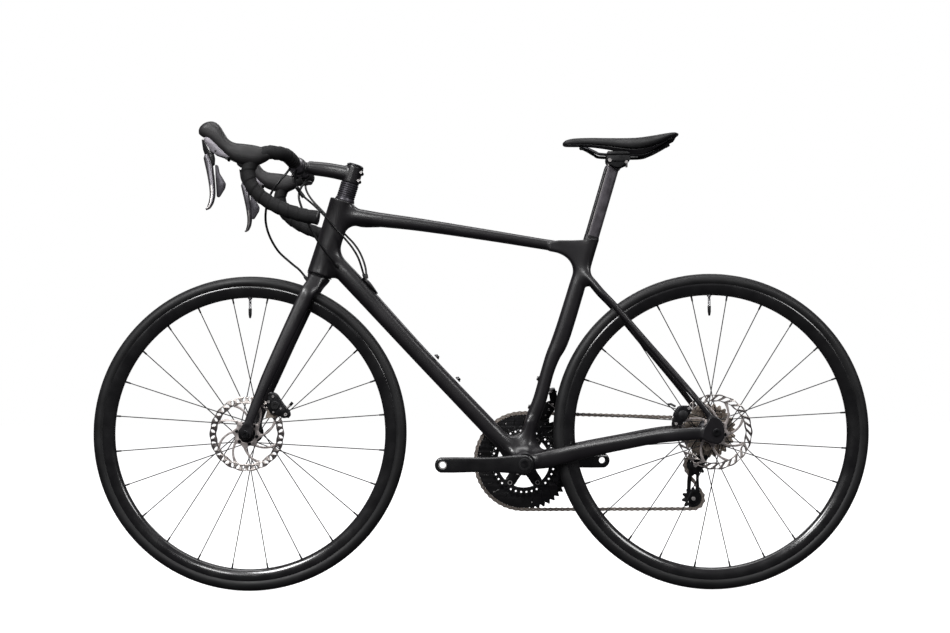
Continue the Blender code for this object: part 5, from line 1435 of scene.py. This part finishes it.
def build_seatpost():
    """Shaped post with sides in a lighter grey that paints their sheen, a dark front strip between two
    painted highlight lines, and a round head.
    """
    across = Vector((SEAT_AXIS.z, 0, -SEAT_AXIS.x))
    levels = [(COLLAR + SEAT_AXIS * along, depth, width) for along, depth, width in
              ((-108, 14.2, 10.8), (-25, 14.2, 10.8), (0, 15.4, 10.8), (60, 15.4, 10.8), (120, 15.4, 10.8),
               (159, 15.4, 10.8), (162.5, 15, 10.5), (164, 13.8, 9.6))]
    rings = []
    for centre, depth, width in levels:
        ring = superellipse(centre, across, UNIT_Y, depth, width, 2.9, 96)
        for k, point in enumerate(ring):
            ahead = (point - centre).dot(across) / depth
            if -0.7 < ahead < -0.6:
                ring[k] = point - UNIT_Y * copysign(1.1, point.y)
        rings.append(ring)
    shape = Shape(POST_PAINTED_SHEEN).rings(rings)
    front = [COLLAR + SEAT_AXIS * along - across * 11.6 for along in (2, 157)]
    shape.use(CARBON).rings([superellipse(p, across, UNIT_Y, 4.0, 9.2, 2.8, 40) for p in front])
    # Two thin steel lines beside the front strip's groove: painted highlights
    for side in (-1, 1):
        highlight_line = [COLLAR + SEAT_AXIS * along - across * 8.6 + UNIT_Y * side * 9.9 for along in (2, 156)]
        shape.use(STEEL).rings([superellipse(p, across, UNIT_Y, 0.7, 0.9, 3, 8) for p in highlight_line])
    shape.use(CARBON)
    shape.tube([POST_HEAD - UNIT_Y * 16, POST_HEAD + UNIT_Y * 16], 8.4, 40)
    place(shape.piece("seatpost_skin", 28), "seatpost", "seatpost")


def build_saddle_clamp():
    """Lower cradle and upper clamp halves, and the two barrel bolts that join them."""
    lower = rounded([(276.5, 919), (281, 917.2), (321, 917.2), (325.5, 919), (325.5, 930.2),
                     (276.5, 930.2)], 2.5)
    upper = rounded([(276.5, 932.6), (325.5, 932.6), (324.5, 938), (319, 939.4), (283, 939.4),
                     (277.5, 938)], 2.5)
    cheek = rounded([(275.5, 927), (277, 920), (283, 911), (292, 906), (304, 904.5), (310, 909), (318, 912.5),
                     (325.5, 920), (325.5, 927)], 2)
    made = Shape(ANODISED_MATTE).plate([lower], -27.6, 27.6, 1.2)
    for side in (-1, 1):
        made.plate([cheek], *sorted((side * 17.4, side * 25.5)), 1.0)
        made.use(STEEL).tube([(282, side * 20, 920), (282, side * 28.6, 920)], 4.0, 20)
        made.tube([(317.5, side * 20, 916), (317.5, side * 28.2, 916)], 3.4, 20)
        made.use(ANODISED_MATTE)
    place(made.piece("clamp_lower_skin"), "saddle_clamp", "saddle_clamp_lower")
    made = Shape(ANODISED_MATTE).plate([upper], -27.6, 27.6, 1.2)
    place(made.piece("clamp_upper_skin"), "saddle_clamp", "saddle_clamp_upper")
    for word, x in (("front", 281.5), ("rear", 320.5)):
        bolt = Shape(STEEL)
        bolt.tube([(x, 0, 908), (x, 0, 940)], 2.4, 16)
        bolt.tube([(x, -8, 939.5), (x, 8, 939.5)], 3.4, 20)
        place(bolt.piece(f"clamp_screw_{word}"), "saddle_clamp", f"clamp_bolt_{word}")


def build_rails():
    shape = Shape(ANODISED)
    for side in (-1, 1):
        shape.tube(rail_route(side), 3.2, 18)
    shape.tube([rail_route(-1)[-1], rail_route(1)[-1]], 3.2, 18)
    shape.use(PLASTIC)
    for side in (-1, 1):
        end = rail_route(side)[0]
        ahead = (end - rail_route(side)[4]).normalized()
        shape.tube([end - ahead * 8, end - ahead * 6, end + ahead * 2], [3.4, 4.0, 4.2], 18)
    place(shape.piece("rails_skin"), "saddle", "saddle_rails")


# Levels from nose to tail: x, lower edge z, top z, half width
SADDLE_STATIONS = [(182.5, 957, 961.5, 8), (190, 955.5, 966.8, 15), (207, 955.5, 970.2, 19),
                   (240, 955, 971.2, 21), (280, 950.5, 970.2, 26), (315, 944, 969.2, 36),
                   (345, 941.5, 969, 51), (375, 947, 971.5, 65), (400, 957, 974.4, 70),
                   (418, 965, 976.2, 64), (428, 969, 974.5, 48)]
# Right half of a level's outline, as shares of the half width and the height, from crown to underside
SADDLE_SHARES = [(0.16, 0.985), (0.4, 1.0), (0.66, 0.95), (0.84, 0.86), (0.95, 0.7), (1.0, 0.5), (0.99, 0.3),
                 (0.93, 0.1), (0.8, 0.0), (0.45, 0.45)]


def saddle_levels():
    spots = smooth_path([(x, edge, top) for x, edge, top, _ in SADDLE_STATIONS], 6)
    widths = smooth_path([(half, 0, 0) for *_, half in SADDLE_STATIONS], 6)
    return [(*spot, width.x) for spot, width in zip(spots, widths)]


def build_saddle():
    """Slim cover over a shell: crowned sides, a shallow channel and a thin skirt."""
    mirror = [(-across, up) for across, up in reversed(SADDLE_SHARES)]
    shares = mirror[2:] + [(0, 0.975)] + SADDLE_SHARES + [(0, 0.5)] + mirror[:2]
    rings = [[Vector((x, half * across, edge + (top - edge) * up)) for across, up in shares]
             for x, edge, top, half in saddle_levels()]
    made = Shape(SADDLE).rings(rings).piece("saddle_skin", 60)
    soften = made.modifiers.new("soften", "SUBSURF")
    soften.levels = soften.render_levels = 1
    apply_modifiers(made)
    made.data.shade_smooth()
    place(made, "saddle", "saddle_cover")


def build_saddle_shell():
    """Arched shell under the cover, with the rails' nose block and tail sockets."""
    rings = []
    for x, edge, _, half in saddle_levels()[2:-8]:
        ring = [Vector((x, 0.78 * half * s, edge + 2.6 * (1 - s ** 2) - 0.8))
                for s in (-1, -0.7, -0.35, 0, 0.35, 0.7, 1)]
        rings.append(ring + [point + UNIT_Z * 3.2 for point in ring[::-1]])
    shell = Shape(PLASTIC).rings(rings)
    shell.tube([(223, -8, 951), (223, 8, 951)], 4.2, 20)
    shell.use(ANODISED_MATTE)
    for side in (-1, 1):
        shell.loft([((406, side * 34, 959), 2.4, 4.5), ((417, side * 35, 965), 2.4, 6)], 2.4, 20, 2)
    place(shell.piece("saddle_shell_skin"), "saddle", "saddle_shell")


# ---------------------------------------------------------------- frame hardware

def build_frame_hardware():
    """Collar round the seatpost and the four bottle bolts on their bosses."""
    levels = [(749.8, 16.9, 12.7), (750.2, 17.3, 13.2), (751.4, 17.1, 13), (752.2, 16.5, 12.2)]
    rings = []
    for z, depth, width in levels:
        centre = COLLAR + SEAT_AXIS * ((z - COLLAR.z) / SEAT_AXIS.z)
        rings.append(superellipse(centre, UNIT_X, UNIT_Y, depth, width, 3.4, 48))
    made = Shape(PLASTIC).rings(rings).piece("seat_collar_skin")
    tool = Shape(PLASTIC)
    tool.loft([(COLLAR - SEAT_AXIS * 12, 16, 11.5), (COLLAR + SEAT_AXIS * 12, 16, 11.5)], 3.6, 48, 2)
    place(cut_with(made, tool), "frame", "seatpost_clamp_cover")
    bolts = Shape(ANODISED)
    for out, spots in ((Vector((0.744, 0, 0.668)), ((-92, 0, 500), (-46.5, 0, 451.5))),
                       (Vector((-0.955, 0, 0.295)), ((127.5, 0, 452), (108.5, 0, 391)))):
        out.normalize()
        for spot in spots:
            base = Vector(spot) - out * 2
            bolts.use(ANODISED).tube([base, base + out * 3.2], 6.4, 24)
            bolts.use(GLOSS).bolt(base + out * 3.0, out, 4.6, 3.4)
    place(bolts.piece("bottle_bolts"), "frame")


# ---------------------------------------------------------------- studio

def area_light(name, location, target, size, power):
    light = bpy.data.lights.new(name, "AREA")
    light.shape = "RECTANGLE"
    light.size, light.size_y = size
    light.energy = power
    made = bpy.data.objects.new(name, light)
    made.location = location
    made.rotation_euler = (Vector(target) - Vector(location)).to_track_quat("-Z", "Y").to_euler()
    bpy.context.scene.collection.objects.link(made)


def build_studio():
    """White floor, the surrounding world and five soft lights."""
    reach, level = 9000, -0.6
    corners = ((-reach, -reach), (reach, -reach), (reach, reach), (-reach, reach))
    floor = Shape(make_floor())
    floor.add([Vector((x, y, level)) for x, y in corners], [(0, 1, 2, 3)])
    made = floor.piece("studio_floor")
    made.visible_diffuse = made.visible_glossy = False
    build_world()
    area_light("key", (-2.2, -3.4, 3.4), (0, 0, 0.5), (1.5, 1.1), 150)
    area_light("fill", (3.0, -3.2, 2.6), (0.2, 0, 0.5), (1.0, 1.2), 50)
    area_light("strip", (-0.7, -3.5, 2.0), (0, 0, 0.5), (0.45, 0.7), 18)
    area_light("top", (0.0, -0.6, 3.6), (0, 0, 0.5), (3.0, 1.2), 60)
    area_light("back", (0.0, 3.2, 2.8), (0, 0, 0.5), (4.0, 0.8), 35)
    bpy.context.scene.view_settings.view_transform = "Standard"


def build_world():
    """Plain white to the camera; to everything else a grey room that is bright overhead."""
    world = bpy.data.worlds.new("studio")
    bpy.context.scene.world = world
    world.use_nodes = True
    tree = world.node_tree
    seen = tree.nodes["Background"]
    seen.inputs["Color"].default_value = (1, 1, 1, 1)
    place_in = tree.nodes.new("ShaderNodeTexCoord")
    split = tree.nodes.new("ShaderNodeSeparateXYZ")
    tree.links.new(place_in.outputs["Generated"], split.inputs["Vector"])
    ramp = tree.nodes.new("ShaderNodeValToRGB")
    ramp.color_ramp.elements[0].position, ramp.color_ramp.elements[1].position = 0.05, 0.9
    ramp.color_ramp.elements[0].color = (0.045, 0.043, 0.048, 1)
    ramp.color_ramp.elements[1].color = (0.30, 0.29, 0.31, 1)
    tree.links.new(split.outputs["Z"], ramp.inputs["Fac"])
    unseen = tree.nodes.new("ShaderNodeBackground")
    tree.links.new(ramp.outputs["Color"], unseen.inputs["Color"])
    path = tree.nodes.new("ShaderNodeLightPath")
    mix = tree.nodes.new("ShaderNodeMixShader")
    tree.links.new(path.outputs["Is Camera Ray"], mix.inputs[0])
    tree.links.new(unseen.outputs[0], mix.inputs[1])
    tree.links.new(seen.outputs[0], mix.inputs[2])
    tree.links.new(mix.outputs[0], tree.nodes["World Output"].inputs["Surface"])


def make_floor():
    """Lit paper, evenly white to the camera."""
    made = new_material("floor_white", (0.5, 0.5, 0.5), 0.9, specular=0.1)
    vary_colour(made, noise(made, 1.5, 2), (0.49, 0.49, 0.49), (0.51, 0.51, 0.51))
    shader = made.node_tree.nodes["Principled BSDF"]
    shader.inputs["Emission Color"].default_value = (1, 1, 1, 1)
    shader.inputs["Emission Strength"].default_value = 0.97
    return made


def build_camera():
    """Level side view from the left with a slight turn, tilt and roll; focal length in image widths."""
    focal_px, width_px = 1391.0, 950.0
    yaw, pitch, roll = atan2(16, 1397), atan2(53.5, 1397), radians(-0.297)
    forward = Vector((-sin(yaw) * cos(pitch), cos(yaw) * cos(pitch), sin(pitch)))
    right = forward.cross(UNIT_Z).normalized()
    up = right.cross(forward)
    right, up = right * cos(roll) + up * sin(roll), up * cos(roll) - right * sin(roll)
    camera = bpy.data.cameras.new("camera")
    camera.sensor_width = 36
    camera.lens = 36 * focal_px / width_px
    made = bpy.data.objects.new("camera", camera)
    turn = Matrix((right, up, -forward)).transposed().to_4x4()
    made.matrix_world = Matrix.Translation((0.0251, -3.0, 0.4717)) @ turn
    bpy.context.scene.collection.objects.link(made)
    bpy.context.scene.camera = made


def build_drive():
    build_bottom_bracket()
    build_crank_arms()
    build_big_ring()
    build_small_ring()
    build_cassette()
    build_chain()
    build_pulleys()
    build_derailleur_cage()
    build_rear_derailleur()
    build_front_derailleur()


def build_cockpit():
    build_handlebar()
    build_stem()
    build_spacers()
    for side, word in ((-1, "left"), (1, "right")):
        build_tape(side, word)
        build_shifter(side, word)
        build_lever(side, word)
    build_hoses()


def build_seat():
    build_seatpost()
    build_saddle_clamp()
    build_rails()
    build_saddle()
    build_saddle_shell()


def main():
    build_frame()
    build_fork()
    build_wheels()
    build_drive()
    build_cockpit()
    build_calipers()
    build_seat()
    build_frame_hardware()
    build_studio()
    build_camera()


main()
